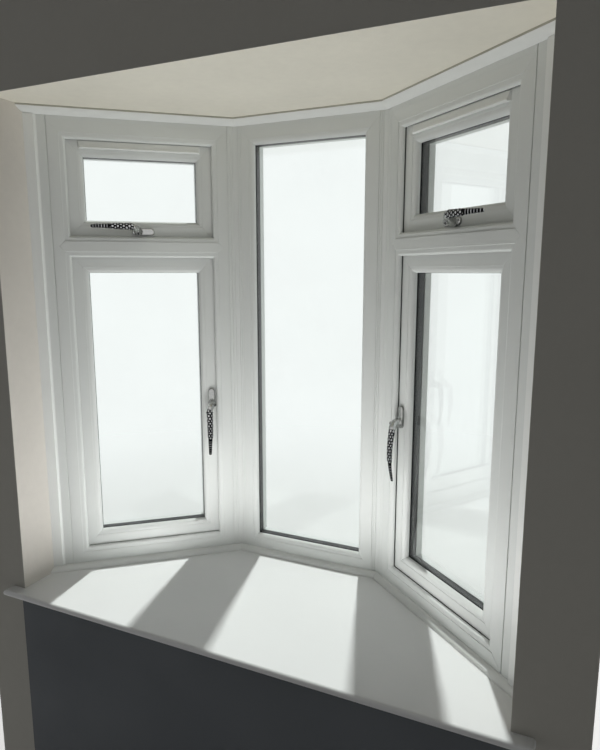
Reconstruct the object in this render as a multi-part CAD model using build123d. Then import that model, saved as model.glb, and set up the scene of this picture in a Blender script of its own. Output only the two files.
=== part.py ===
from build123d import *
import math
import os

# Splayed bay window in three lights, with the walls, board and low hipped roof that it is built into.
# Seen from the room: X runs to the right, Y runs outwards and Z runs up from the ground.
# Lengths are millimetres and angles are degrees.
# A light's own frame has X along it, Y outwards from its room face and Z up.

# Plan of the bay
splay_angle = 40.7
corner_spacing = 480
recess_depth = 505
wall_thickness = 270
wall_return = 150
plaster = 13

# Heights above the ground
board_top = 900
board_thickness = 18
soffit_height = 2281
bulkhead_height = 247

# Outer frames
frame_depth = 70
side_frame_width = 510
side_pole_reach = 25.5
centre_pole_reach = 20
frame_face = 31
foot_face = 35
transom_face = 30
centre_face = 28
centre_foot_face = 32
frame_lift = 15
fanlight_opening = 302

# Frame moulding round an opening: a step, a flat and a quarter round
mould_width = 16
mould_step = 2
mould_round = 9
upstand_depth = 12

# Sashes, measured in from the edge of the frame's opening
sash_inset = 8
sash_setback = 16
sash_face = 36
sash_depth = 69
rebate_recess = 3
outer_lap = 4
lap_depth = 13.5
outer_chamfer = 4
weld_width = 1.5
weld_depth = 0.4
mitre_gap = 0.3

# Glass, beads and seals
bead_width = 17
bead_depth = 17
bead_quirk = 1.5
bead_round = 12
centre_bead_width = 16
centre_bead_depth = 14
glazing_seal = 2
pane_thickness = 4
pane_gap = 20
pane_edge = 2
spacer_width = 8
seal_width = 6
seal_lip = 0.6
seal_inset = 1

# Bay poles and their ribbed room covers
pole_radius = 33
pole_wall = 4
pole_offset = 38
adaptor_inset = 9
cover_depth = 8
cover_flute = 1.6
cover_rib = 7

# Extensions that fill from the frames to the wall and to the soffit
jamb_extension = 52.8
head_extension = 34
extension_chamfer = 3

# Trims
head_trim_drop = 21
head_trim_reach = 24
head_trim_lip = 5
head_trim_foot = 2
head_trim_round = 40
cill_trim_leg = 17
jamb_trim_width = 28
jamb_trim_thickness = 7

# Window board
board_nose = 35
board_horn = 50
board_round = 8

# Outside cill
cill_reach = 85
cill_slope = 8
cill_nose = 30
cill_skin = 9

# Walls under the bay
brick_face_offset = 120
dwarf_wall_thickness = 250
apron_thickness = 100

# Low hipped roof
eaves_offset = 150
eaves_soffit_thickness = 13
fascia_thickness = 18
fascia_drop = 10
deck_height = 110
roof_pitch = 12
roof_overhang = 10
lead_thickness = 4
roll_radius = 14
flashing_height = 75

# Trickle vents on the fanlight sashes
vent_length = 350
vent_height = 21
vent_projection = 10
vent_top_depth = 4
vent_roll = 3
vent_end_slope = 6
vent_clearance = 2
vent_slide_length = 12
vent_slide_height = 4
vent_slide_lift = 1.2

# Handles: a plate, a boss, and a lever whose thick neck leans to one side
handle_base_length = 64
handle_base_width = 20
handle_base_thickness = 8
base_bevel = 2
pivot_shift = 15
boss_radius = 14
boss_height = 5
neck_drop = 22
neck_lap = 4
lever_reach = 41
tail_offset = 13
lever_length = 165
fanlight_lever_length = 135
lever_width = 19
lever_taper = 3
lever_thickness = 10
tip_length = 62
tip_width = 11
tip_thinning = 4
lever_end_width = 9.5
shoulder_length = 8
lever_bow = 8
tip_return = 5
lever_bevel = 2.5
bevel_share = 0.4
handle_rise = 4.5
handle_shift = 4.25

# Sizes worked out from the ones above
turn = math.radians(splay_angle)
half_turn = turn / 2
corner_x = corner_spacing / 2
half_recess = corner_x + (side_pole_reach + side_frame_width + jamb_extension) * math.cos(turn)
masonry_x = half_recess + plaster
end_x = half_recess + wall_return
wall_room_y = -recess_depth
wall_outer_y = wall_room_y + wall_thickness
wall_top_z = board_top - board_thickness
masonry_soffit = soffit_height + plaster
wall_height = masonry_soffit + bulkhead_height
frame_foot = board_top + frame_lift
frame_top = soffit_height - head_extension
frame_height = frame_top - frame_foot
side_opening_width = side_frame_width - 2 * frame_face
casement_opening = frame_height - foot_face - transom_face - fanlight_opening - frame_face
casement_mid = frame_foot + foot_face + casement_opening / 2
fanlight_mid = frame_top - frame_face - fanlight_opening / 2
side_mid = side_pole_reach + side_frame_width / 2
centre_frame_width = corner_spacing - 2 * centre_pole_reach
centre_opening_width = centre_frame_width - 2 * centre_face
centre_opening_height = frame_height - centre_face - centre_foot_face
centre_mid = frame_foot + centre_foot_face + centre_opening_height / 2
sash_glass_q = sash_setback + bead_depth + glazing_seal
unit_thickness = 2 * pane_thickness + pane_gap
centre_glass_q = centre_bead_depth + glazing_seal
sash_sight = sash_inset + sash_face + bead_width
roof_base = masonry_soffit + deck_height
room_edge_y = wall_room_y - board_nose
roof_edge_offset = eaves_offset + fascia_thickness + roof_overhang
origin_shift = -(room_edge_y + roof_edge_offset) / 2
far = 2000
apex_clearance = 1


def facet_place(side):
    """Carries a light's own frame, with X measured from the bay's corner, to the bay's frame."""
    if side == "centre":
        return Location(Plane(origin=(-corner_x, 0, 0), x_dir=(1, 0, 0), z_dir=(0, 0, 1)))
    along = (math.cos(turn), -math.sin(turn), 0)
    return Location(Plane(origin=(corner_x, 0, 0), x_dir=along, z_dir=(0, 0, 1)))


def mirrored(shape):
    """The left-hand twin of a right-hand piece."""
    return mirror(shape, about=Plane.YZ)


def corner_at(offset):
    """The right-hand corner of the line that runs round the bay at a distance outside the frames."""
    return corner_x + offset * math.tan(half_turn), offset


def y_on_side(offset, x):
    """Where that line passes a given X on the right-hand side."""
    start_x, start_y = corner_at(offset)
    return start_y - (x - start_x) * math.tan(turn)


def x_on_side(offset, y):
    """Where that line passes a given Y on the right-hand side."""
    start_x, start_y = corner_at(offset)
    return start_x + (start_y - y) / math.tan(turn)


def bay_region(offset, back_y, half_width=far):
    """Plan of everything inside the line at an offset, in front of back_y and within a half width."""
    x, y = corner_at(offset)
    reach = min(half_width, x_on_side(offset, back_y))
    side_y = max(back_y, y_on_side(offset, half_width))
    right = [(x, y), (reach, side_y), (reach, back_y)]
    left = [(-px, py) for px, py in reversed(right)]
    points = [p for i, p in enumerate(right + left) if i == 0 or p != (right + left)[i - 1]]
    return make_face(Polyline(*points, close=True))


def prism(face, low, high):
    """A plan face raised between two heights."""
    return extrude(Pos(0, 0, low) * face, amount=high - low, dir=(0, 0, 1))


def block(x0, x1, y0, y1, z0, z1):
    """A square-edged block between two corners."""
    return Pos((x0 + x1) / 2, (y0 + y1) / 2, (z0 + z1) / 2) * Box(x1 - x0, y1 - y0, z1 - z0)


def facet_sector(side, gap=0.0):
    """Plan of the part of the bay that belongs to one light, up to the mitres at its corners."""
    shift = gap / 2 / math.cos(half_turn)
    run_x, run_y = far * math.sin(half_turn), far * math.cos(half_turn)
    narrow = corner_x / math.tan(half_turn) - apex_clearance
    near_x, near_y = narrow * math.sin(half_turn), narrow * math.cos(half_turn)
    if side == "centre":
        edge = corner_x - shift
        return make_face(Polyline((-edge - run_x, run_y), (-edge + near_x, -near_y),
                                  (edge - near_x, -near_y), (edge + run_x, run_y), close=True))
    edge = corner_x + shift
    return make_face(Polyline((edge + run_x, run_y), (edge - near_x, -near_y), (edge - near_x, -far),
                              (2 * far, -far), (2 * far, run_y), close=True))


def facet_run(section, side, half_width=far, back_y=-far, gap=0.0):
    """A section drawn in Y and Z, run along one light, mitred at the corners and ended square."""
    bar = extrude(Plane(origin=(-far, 0, 0), x_dir=(0, 1, 0), z_dir=(1, 0, 0)) * section, amount=2 * far)
    place = facet_place("centre" if side == "centre" else "right")
    limits = prism(facet_sector("centre" if side == "centre" else "right", gap), -far, 2 * far)
    limits &= block(-half_width, half_width, back_y, far, -far, 2 * far)
    run = place * bar & limits
    return mirrored(run) if side == "left" else run


def bay_run(section, half_width=far, back_y=-far, gap=mitre_gap):
    """A section run round all three lights, as three mitred pieces."""
    return [facet_run(section, side, half_width, back_y, gap) for side in ("left", "centre", "right")]


def ring(width, height, section):
    """A mitred rectangular ring: the section's X runs in from the edge and its Y runs outwards."""
    low = -height / 2
    path = Polyline((0, 0, low), (width / 2, 0, low), (width / 2, 0, -low), (-width / 2, 0, -low),
                    (-width / 2, 0, low), (0, 0, low))
    start = Plane(origin=(0, 0, low), x_dir=(0, 0, 1), z_dir=(-1, 0, 0))
    return sweep(start * section, path=path, transition=Transition.RIGHT)


def weld_grooves(width, height, low_reach, high_reach, front):
    """Shallow grooves that run outwards from a rectangle's corners, where welded corners are trimmed."""
    grooves = []
    for x, z in ((-1, -1), (1, -1), (-1, 1), (1, 1)):
        length = 2 * math.sqrt(2) * (low_reach if z < 0 else high_reach)
        place = Pos(x * width / 2, front, z * height / 2) * Rot(0, -45 * x * z, 0)
        grooves.append(place * Box(length, 2 * weld_depth, weld_width))
    return grooves


def mitred(bars, width, height, reach):
    """Cuts a ring round a rectangle into four bars, with a fine gap at each mitre."""
    for x, z in ((-1, -1), (1, -1), (-1, 1), (1, 1)):
        place = Pos(x * width / 2, 0, z * height / 2) * Rot(0, -45 * x * z, 0)
        bars -= place * Box(2 * math.sqrt(2) * reach, 2 * frame_depth, mitre_gap)
    return bars


def rectangle_section(inner, outer, near, far_side):
    """A plain section between two insets and two depths."""
    return make_face(Polyline((inner, near), (outer, near), (outer, far_side), (inner, far_side), close=True))


def frame_moulding():
    """Upstand round a sash's opening, with its step, flat and quarter round."""
    start = mould_width - mould_round
    outline = Polyline((0, mould_step), (start, mould_step))
    outline += RadiusArc((start, mould_step), (mould_width, mould_step + mould_round), -mould_round)
    outline += Polyline((mould_width, mould_step + mould_round), (mould_width, upstand_depth),
                        (rebate_recess, upstand_depth), (rebate_recess, frame_depth),
                        (0, frame_depth), (0, mould_step))
    return make_face(outline)


def sash_section():
    """Sash profile: room face, glazing rebate, outside leg and the lap over the frame."""
    front = sash_setback
    back = sash_setback + sash_depth
    face_end = sash_inset + sash_face
    floor = face_end - rebate_recess
    glass_back = sash_glass_q + unit_thickness
    lap = back - lap_depth
    return make_face(Polyline((sash_inset, front), (face_end, front), (face_end, front + rebate_recess),
                              (floor, front + rebate_recess), (floor, glass_back), (sash_sight, glass_back),
                              (sash_sight, back - outer_chamfer), (sash_sight - outer_chamfer, back),
                              (-outer_lap + outer_chamfer, back), (-outer_lap, back - outer_chamfer),
                              (-outer_lap, lap), (sash_inset, lap), close=True))


def bead_section(start, front, width, depth, floor):
    """Glazing bead: a quirk, a small flat and a quarter round down to the glass."""
    flat = start + width - bead_round
    curve_end = front + bead_quirk + bead_round
    back = front + depth
    outline = Polyline((start, front), (start + bead_quirk, front), (start + bead_quirk, front + bead_quirk),
                       (flat, front + bead_quirk))
    outline += RadiusArc((flat, front + bead_quirk), (start + width, curve_end), -bead_round)
    outline += Polyline((start + width, curve_end), (start + width, back), (floor, back),
                        (floor, front + rebate_recess), (start, front + rebate_recess), (start, front))
    return make_face(outline)


def centre_bead_section():
    """Bead of the fixed light, which sits in the outer frame itself."""
    radius = centre_bead_depth - 2 * bead_quirk
    flat = centre_bead_width - radius
    front = bead_quirk / 2
    top = front + bead_quirk
    outline = Polyline((0, front), (bead_quirk, front), (bead_quirk, top), (flat, top))
    outline += RadiusArc((flat, top), (centre_bead_width, top + radius), -radius)
    outline += Polyline((centre_bead_width, top + radius), (centre_bead_width, centre_bead_depth),
                        (0, centre_bead_depth), (0, front))
    return make_face(outline)


def side_frame():
    """Welded outer frame with a transom, in the right-hand light's own frame."""
    body = Pos(side_mid, frame_depth / 2, frame_foot + frame_height / 2) * Box(
        side_frame_width, frame_depth, frame_height)
    for middle, height in ((casement_mid, casement_opening), (fanlight_mid, fanlight_opening)):
        body -= Pos(side_mid, frame_depth / 2, middle) * Box(side_opening_width, frame_depth, height)
        body += Pos(side_mid, 0, middle) * ring(side_opening_width, height, frame_moulding())
    reaches = {casement_mid: (frame_face, transom_face / 2), fanlight_mid: (transom_face / 2, frame_face)}
    for middle, height in ((casement_mid, casement_opening), (fanlight_mid, fanlight_opening)):
        for groove in weld_grooves(side_opening_width, height, *reaches[middle], 0):
            body -= Pos(side_mid, 0, middle) * groove
    return body


def centre_frame():
    """Welded outer frame of the fixed light, in the centre light's own frame."""
    middle_x = corner_spacing / 2
    body = Pos(middle_x, frame_depth / 2, frame_foot + frame_height / 2) * Box(
        centre_frame_width, frame_depth, frame_height)
    body -= Pos(middle_x, frame_depth / 2, centre_mid) * Box(
        centre_opening_width, frame_depth, centre_opening_height)
    back = centre_glass_q + unit_thickness
    leg = make_face(Polyline((0, back), (centre_bead_width, back),
                             (centre_bead_width, frame_depth - outer_chamfer),
                             (centre_bead_width - outer_chamfer, frame_depth), (0, frame_depth), close=True))
    body += Pos(middle_x, 0, centre_mid) * ring(centre_opening_width, centre_opening_height, leg)
    for groove in weld_grooves(centre_opening_width, centre_opening_height, centre_face, centre_face, 0):
        body -= Pos(middle_x, 0, centre_mid) * groove
    return body


def opening_size(kind):
    """Height of the middle, width and height of one opening."""
    if kind == "centre":
        return centre_mid, centre_opening_width, centre_opening_height
    if kind == "casement":
        return casement_mid, side_opening_width, casement_opening
    return fanlight_mid, side_opening_width, fanlight_opening


def opening_ring(kind, section):
    """A ring of the given section round one opening, in that light's own frame."""
    middle, width, height = opening_size(kind)
    middle_x = corner_spacing / 2 if kind == "centre" else side_mid
    return Pos(middle_x, 0, middle) * ring(width, height, section)


def sash(kind):
    """Welded sash of one opening, in that light's own frame."""
    middle, width, height = opening_size(kind)
    body = opening_ring(kind, sash_section())
    inset = sash_inset + sash_face
    for groove in weld_grooves(width - 2 * inset, height - 2 * inset, sash_face, sash_face, sash_setback):
        body -= Pos(side_mid, 0, middle) * groove
    return body


def beads(kind):
    """Four mitred glazing beads round one pane, in that light's own frame."""
    middle, width, height = opening_size(kind)
    if kind == "centre":
        bars = ring(width, height, centre_bead_section())
        return Pos(corner_spacing / 2, 0, middle) * mitred(bars, width, height, 2 * centre_bead_width)
    start = sash_inset + sash_face
    section = bead_section(start, sash_setback, bead_width, bead_depth, start - rebate_recess)
    bars = ring(width, height, section)
    return Pos(side_mid, 0, middle) * mitred(bars, width, height, sash_sight + bead_width)


def glass_unit(kind):
    """Two panes of one sealed unit, in that light's own frame."""
    if kind == "centre":
        width = centre_opening_width - 2 * pane_edge
        height = centre_opening_height - 2 * pane_edge
        middle_x, middle, near = corner_spacing / 2, centre_mid, centre_glass_q
    else:
        inset = sash_inset + sash_face - rebate_recess + pane_edge
        full = casement_opening if kind == "casement" else fanlight_opening
        width, height = side_opening_width - 2 * inset, full - 2 * inset
        middle_x, near = side_mid, sash_glass_q
        middle = casement_mid if kind == "casement" else fanlight_mid
    panes = []
    for start in (near, near + pane_thickness + pane_gap):
        panes.append(Pos(middle_x, start + pane_thickness / 2, middle) * Box(width, pane_thickness, height))
    return panes


def spacer(kind):
    """Dark spacer bar between the panes of one unit, with its edge at the sight line."""
    near = (centre_glass_q if kind == "centre" else sash_glass_q) + pane_thickness
    sight = centre_bead_width if kind == "centre" else sash_sight
    return opening_ring(kind, rectangle_section(sight - spacer_width, sight, near, near + pane_gap))


def glazing_gasket(kind):
    """Thin black seal between a bead and the inner pane."""
    back = centre_glass_q if kind == "centre" else sash_glass_q
    sight = (centre_bead_width if kind == "centre" else sash_sight) + seal_lip
    return opening_ring(kind, rectangle_section(sight - seal_width, sight, back - glazing_seal, back))


def sash_gasket(kind):
    """Black seal on which a closed sash meets its frame."""
    outer = mould_width - seal_inset
    return opening_ring(kind, rectangle_section(outer - seal_width, outer, upstand_depth, sash_setback))


def bay_pole():
    """Hollow round pole on the right-hand corner, with a moulded adaptor to each frame."""
    direction = Vector(math.sin(half_turn), math.cos(half_turn), 0)
    centre = Vector(corner_x, 0, 0) + direction * (pole_offset / math.cos(half_turn))
    height = soffit_height - frame_foot
    middle = frame_foot + height / 2
    adaptor_depth = frame_depth - 2 * adaptor_inset
    to_pole = pole_offset * math.tan(half_turn)
    on_centre = Pos(corner_spacing + (to_pole - centre_pole_reach) / 2, frame_depth / 2, middle)
    centre_side = facet_place("centre") * on_centre * Box(to_pole + centre_pole_reach, adaptor_depth, height)
    on_side = Pos((side_pole_reach - to_pole) / 2, frame_depth / 2, middle)
    right_side = facet_place("right") * on_side * Box(side_pole_reach + to_pole, adaptor_depth, height)
    body = Pos(centre.X, centre.Y, middle) * Cylinder(pole_radius, height) + centre_side + right_side
    body &= wedge_between_frames(cover_depth, frame_depth + pole_radius)
    return body - Pos(centre.X, centre.Y, middle) * Cylinder(pole_radius - pole_wall, height)


def wedge_between_frames(near, deep):
    """The corner space between the ends of two frames, from one depth to another."""
    height = soffit_height - frame_foot
    start = Vector(corner_x - centre_pole_reach, near, 0)
    end = Vector(corner_x - centre_pole_reach, deep, 0)
    along = Vector(math.cos(turn), -math.sin(turn), 0)
    out = Vector(math.sin(turn), math.cos(turn), 0)
    corner = Vector(corner_x, 0, 0)
    far_start = corner + along * side_pole_reach + out * near
    far_end = corner + along * side_pole_reach + out * deep
    near_x, near_y = corner_at(near)
    points = [(start.X, start.Y), (near_x, near_y), (far_start.X, far_start.Y), (far_end.X, far_end.Y),
              (end.X, end.Y)]
    return prism(make_face(Polyline(*points, close=True)), frame_foot, frame_foot + height)


def pole_cover():
    """Ribbed cover on the room side of the right-hand pole, with a flute beside each rib."""
    along = Vector(math.cos(turn), -math.sin(turn), 0)
    out = Vector(math.sin(turn), math.cos(turn), 0)
    corner = Vector(corner_x, 0, 0)

    def on_centre(distance, depth):
        return corner.X - distance, depth

    def on_side(distance, depth):
        point = corner + along * distance + out * depth
        return point.X, point.Y

    def half(place, reach):
        middle = (reach + cover_rib) / 2
        return [place(reach, cover_flute), place(reach - cover_flute, 0), place(middle + cover_flute, 0),
                place(middle, cover_flute), place(middle - cover_flute, 0),
                place(cover_rib + cover_flute, 0), place(cover_rib, cover_flute),
                place(cover_rib - cover_flute, 0)]

    centre_half = half(on_centre, centre_pole_reach)
    side_half = half(on_side, side_pole_reach)
    back = [on_side(side_pole_reach, cover_depth), corner_at(cover_depth),
            on_centre(centre_pole_reach, cover_depth)]
    outline = make_face(Polyline(*centre_half, *reversed(side_half), *back, close=True))
    return prism(outline, board_top + cill_trim_leg, soffit_height - head_trim_drop)


def frame_extensions():
    """Extension pieces from the frames up to the soffit and out to the wall."""
    rise = soffit_height - frame_top
    middle = frame_top + rise / 2
    centre = facet_place("centre") * Pos(corner_spacing / 2, frame_depth / 2, middle) * Box(
        centre_frame_width, frame_depth, rise)
    side = facet_place("right") * Pos(side_mid, frame_depth / 2, middle) * Box(
        side_frame_width, frame_depth, rise)
    start = side_pole_reach + side_frame_width
    plan = make_face(Polyline((start + extension_chamfer, 0), (far, 0), (far, frame_depth),
                              (start, frame_depth), (start, extension_chamfer), close=True))
    jamb = facet_place("right") * prism(plan, frame_foot, soffit_height)
    jamb &= block(0, masonry_x, -far, far, 0, far * 2)
    return [centre, side, mirrored(side), jamb, mirrored(jamb)]


def head_trim_section():
    """Gently rounded bevel, with a lip, between the frames and the soffit."""
    low = soffit_height - head_trim_drop
    lip = soffit_height - head_trim_lip
    outline = Polyline((0, soffit_height), (-head_trim_reach, soffit_height), (-head_trim_reach, lip))
    outline += RadiusArc((-head_trim_reach, lip), (-head_trim_foot, low), -head_trim_round)
    outline += Polyline((-head_trim_foot, low), (0, low), (0, soffit_height))
    return make_face(outline)


def cill_trim_section():
    """Quadrant between the frames' feet and the board."""
    outline = Polyline((0, board_top + cill_trim_leg), (0, board_top), (-cill_trim_leg, board_top))
    outline += RadiusArc((-cill_trim_leg, board_top), (0, board_top + cill_trim_leg), cill_trim_leg)
    return make_face(outline)


def jamb_trim():
    """Flat rounded trim that covers the joint between the extension and the right-hand reveal."""
    edge = (half_recess - corner_x) / math.cos(turn)
    start = edge - jamb_trim_width
    into_wall, front = edge + jamb_trim_width, -jamb_trim_thickness
    round_end = (start + jamb_trim_thickness, front)
    outline = Polyline((start, 0), (into_wall, 0), (into_wall, front), round_end)
    outline += RadiusArc(round_end, (start, 0), -jamb_trim_thickness)
    low, high = board_top + cill_trim_leg, soffit_height - head_trim_drop
    trim = facet_place("right") * prism(make_face(outline), low, high)
    return trim & block(0, half_recess, -far, far, 0, far * 2)


def window_board():
    """Board that fills the bay and runs past the reveals as two rounded horns."""
    inside = prism(bay_region(0, wall_room_y, half_recess), board_top - board_thickness, board_top)
    nose_end = half_recess + board_horn
    nose = block(-nose_end, nose_end, room_edge_y, wall_room_y, board_top - board_thickness, board_top)
    board = inside + nose
    rounded = [e for e in board.edges().filter_by(Axis.X) if abs(e.center().Y - room_edge_y) < 0.01]
    rounded += [e for e in board.edges().filter_by(Axis.Y) if abs(abs(e.center().X) - nose_end) < 0.01]
    return fillet(rounded, board_round)


def cill_section():
    """Outside cill: a raised seat under the frames, a falling top and a nose that hangs clear."""
    seat = frame_foot
    edge = frame_depth + cill_reach
    top_start = seat - mould_step
    top_end = top_start - cill_slope
    low, inner = top_end - cill_nose, edge - cill_skin
    return make_face(Polyline((0, wall_top_z), (0, seat), (frame_depth, seat), (frame_depth, top_start),
                              (edge, top_end), (edge, low), (inner, low), (inner, top_end - cill_skin),
                              (brick_face_offset + cill_skin, wall_top_z), close=True))


def dwarf_walls():
    """Three splayed lengths of wall under the lights."""
    inner = brick_face_offset - dwarf_wall_thickness
    back = wall_room_y + apron_thickness
    section = make_face(Polyline((inner, 0), (brick_face_offset, 0), (brick_face_offset, wall_top_z),
                                 (inner, wall_top_z), close=True))
    return bay_run(section, masonry_x, back, gap=0.0)


def pier():
    """Right-hand end of the house wall beside the bay."""
    return block(masonry_x, end_x, wall_room_y + plaster, wall_outer_y, 0, masonry_soffit)


def wall_plaster():
    """Plaster on the right-hand pier: its room face and the reveal."""
    reveal = make_face(Polyline((half_recess, wall_room_y), (masonry_x, wall_room_y),
                                (masonry_x, y_on_side(0, masonry_x)),
                                (half_recess, y_on_side(0, half_recess)), close=True))
    return block(masonry_x, end_x, wall_room_y, wall_room_y + plaster, 0, masonry_soffit) + prism(
        reveal, wall_top_z, soffit_height)


def roof_slopes(lift):
    """The low hipped roof below three sloping planes, raised by a lift."""
    solid = prism(bay_region(roof_edge_offset, wall_outer_y), roof_base, roof_base + far)
    pitch = math.radians(roof_pitch)
    for sign in (0, 1, -1):
        out = Vector(math.sin(sign * turn), math.cos(turn) if sign else 1, 0)
        normal = out * math.sin(pitch) + Vector(0, 0, math.cos(pitch))
        edge = Vector(sign * corner_x, 0, roof_base + lift) + out * roof_edge_offset
        solid = split(solid, bisect_by=Plane(origin=edge, z_dir=normal), keep=Keep.BOTTOM)
    return solid


def roof_deck():
    """Boxed timber roof over the bay, laid to a fall."""
    box = prism(bay_region(eaves_offset, wall_outer_y), masonry_soffit, roof_base)
    return box + roof_slopes(lead_thickness)


def roof_covering():
    """Sheet lead over the deck, with a roll on each hip."""
    sheet = roof_slopes(2 * lead_thickness) - roof_slopes(lead_thickness)
    x, y = corner_at(roof_edge_offset)
    hip_x, hip_y = corner_at(wall_outer_y)
    rise = (roof_edge_offset - wall_outer_y) * math.tan(math.radians(roof_pitch))
    low = roof_base + 2 * lead_thickness
    start, end = Vector(x, y, low), Vector(hip_x, hip_y, low + rise)
    roll = extrude(Plane(origin=start, z_dir=end - start) * Circle(roll_radius), amount=(end - start).length)
    roll -= roof_slopes(lead_thickness)
    roll &= prism(bay_region(roof_edge_offset, wall_outer_y), roof_base, roof_base + far)
    return sheet + roll + mirrored(roll)


def flashing():
    """Lead flashing where the roof meets the house wall."""
    strip = roof_slopes(2 * lead_thickness + flashing_height) - roof_slopes(2 * lead_thickness)
    strip &= block(-far, far, wall_outer_y, wall_outer_y + lead_thickness, 0, wall_height)
    return strip - roof_covering()


def fascia_section():
    """Fascia board on the roof's edge."""
    low = soffit_height - fascia_drop
    return rectangle_section(eaves_offset, eaves_offset + fascia_thickness, low, roof_base)


def eaves_soffit_section():
    """Board under the eaves, from the frames to the fascia."""
    return rectangle_section(frame_depth, eaves_offset, soffit_height, soffit_height + eaves_soffit_thickness)


def trickle_vent():
    """Vent on the right-hand fanlight's top rail: a leaning face over a rounded roll, with a small slide."""
    top = fanlight_mid + fanlight_opening / 2 - mould_width - vent_clearance
    low = top - vent_height
    back = sash_setback
    front = back - vent_projection
    behind_roll = front + vent_roll
    outline = Polyline((behind_roll, low), (back, low), (back, top), (back - vent_top_depth, top),
                       (behind_roll, low + 2 * vent_roll))
    outline += ThreePointArc((behind_roll, low + 2 * vent_roll), (front, low + vent_roll),
                             (behind_roll, low))
    start, end = side_mid - vent_length / 2, side_mid + vent_length / 2
    body = extrude(Plane(origin=(start, 0, 0), x_dir=(0, 1, 0), z_dir=(1, 0, 0)) * make_face(outline),
                   amount=vent_length)
    plan = make_face(Polyline((start, back), (end, back), (end - vent_end_slope, front),
                              (start + vent_end_slope, front), close=True))
    slide = Pos(side_mid, behind_roll, low + 2 * vent_roll + vent_slide_height / 2) * Box(
        vent_slide_length, 2 * vent_slide_lift, vent_slide_height)
    return (body & prism(plan, low, top)) + slide


def handle_base():
    """Handle plate with its boss: the plate lies along X and the pivot is at the origin."""
    lying = Plane(origin=(pivot_shift, 0, 0), x_dir=(1, 0, 0), z_dir=(0, -1, 0))
    body = extrude(lying * SlotOverall(handle_base_length, handle_base_width), amount=handle_base_thickness)
    body = chamfer(body.faces().sort_by(Axis.Y)[0].edges(), base_bevel)
    boss = extrude(Plane(origin=(0, 0, 0), z_dir=(0, -1, 0)) * Circle(boss_radius),
                   amount=handle_base_thickness + boss_height)
    return body + boss


def tail_section(distance, length, width, thickness):
    """Bevelled section across a lever's tail, at a distance below the pivot and on the tail's bowed line."""
    share = (distance - neck_drop) / (length - neck_drop)
    bow = lever_bow * math.sin(math.pi * share) - tip_return * share
    bevelled = chamfer(Rectangle(width, thickness).vertices(), min(lever_bevel, thickness * bevel_share))
    middle = (-distance, -lever_reach - bow, -tail_offset)
    return Plane(origin=middle, x_dir=(0, 0, 1), z_dir=(-1, 0, 0)) * bevelled


def lever_neck():
    """Neck that starts as wide as the boss and bends down to the tail, narrowing as it goes."""
    line = Spline((0, -handle_base_thickness - boss_height, 0), (-neck_drop, -lever_reach, -tail_offset),
                  tangents=((0, -1, 0), (-1, 0, 0)))
    sections = []
    for share in (0, 0.25, 0.5, 0.75, 1):
        wide = boss_radius + (lever_width / 2 - boss_radius) * share
        deep = boss_radius + (lever_thickness / 2 - boss_radius) * share
        across = Plane(origin=line @ share, x_dir=(0, 0, 1), z_dir=line % share)
        sections.append(across * Ellipse(wide, deep))
    return loft(sections)


def handle_lever(length):
    """Lever of a given length: a curved neck, a bowed tail, a shoulder and a narrower tip."""
    step = length - tip_length
    broad_end = step - shoulder_length
    middle = (neck_drop + broad_end) / 2
    end_width = lever_width - lever_taper
    tip_start = lever_thickness - tip_thinning / 2
    tip_end = lever_thickness - tip_thinning
    broad = loft([tail_section(neck_drop - neck_lap, length, lever_width, lever_thickness),
                  tail_section(neck_drop, length, lever_width, lever_thickness),
                  tail_section(middle, length, (lever_width + end_width) / 2, lever_thickness),
                  tail_section(broad_end, length, end_width, lever_thickness)])
    shoulder = loft([tail_section(broad_end, length, end_width, lever_thickness),
                     tail_section(step, length, tip_width, tip_start)], ruled=True)
    tip = loft([tail_section(step, length, tip_width, tip_start),
                tail_section(step + tip_length / 2, length, (tip_width + lever_end_width) / 2,
                             (tip_start + tip_end) / 2),
                tail_section(length, length, lever_end_width, tip_end)])
    return lever_neck() + broad + shoulder + tip


def handle_places():
    """Where the two right-hand handles sit: on the casement's stile and on the fanlight's bottom rail."""
    rail = sash_inset + sash_face / 2 + handle_shift
    casement_x = side_mid - side_opening_width / 2 + rail
    casement_z = casement_mid - pivot_shift + handle_rise
    casement = facet_place("right") * Pos(casement_x, sash_setback, casement_z) * Rot(0, -90, 0)
    fan_z = fanlight_mid - fanlight_opening / 2 + rail
    fanlight = facet_place("right") * Pos(side_mid + pivot_shift, sash_setback, fan_z) * Rot(0, 180, 0)
    return casement, fanlight


def handle_pieces(pieces):
    """The casement's and the fanlight's piece at their places on both sides."""
    placed = [place * piece for place, piece in zip(handle_places(), pieces)]
    return placed + [mirrored(piece) for piece in placed]


def sides(piece):
    """The right-hand piece and its left-hand twin, by side."""
    placed = facet_place("right") * piece
    return {"right": placed, "left": mirrored(placed)}


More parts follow.
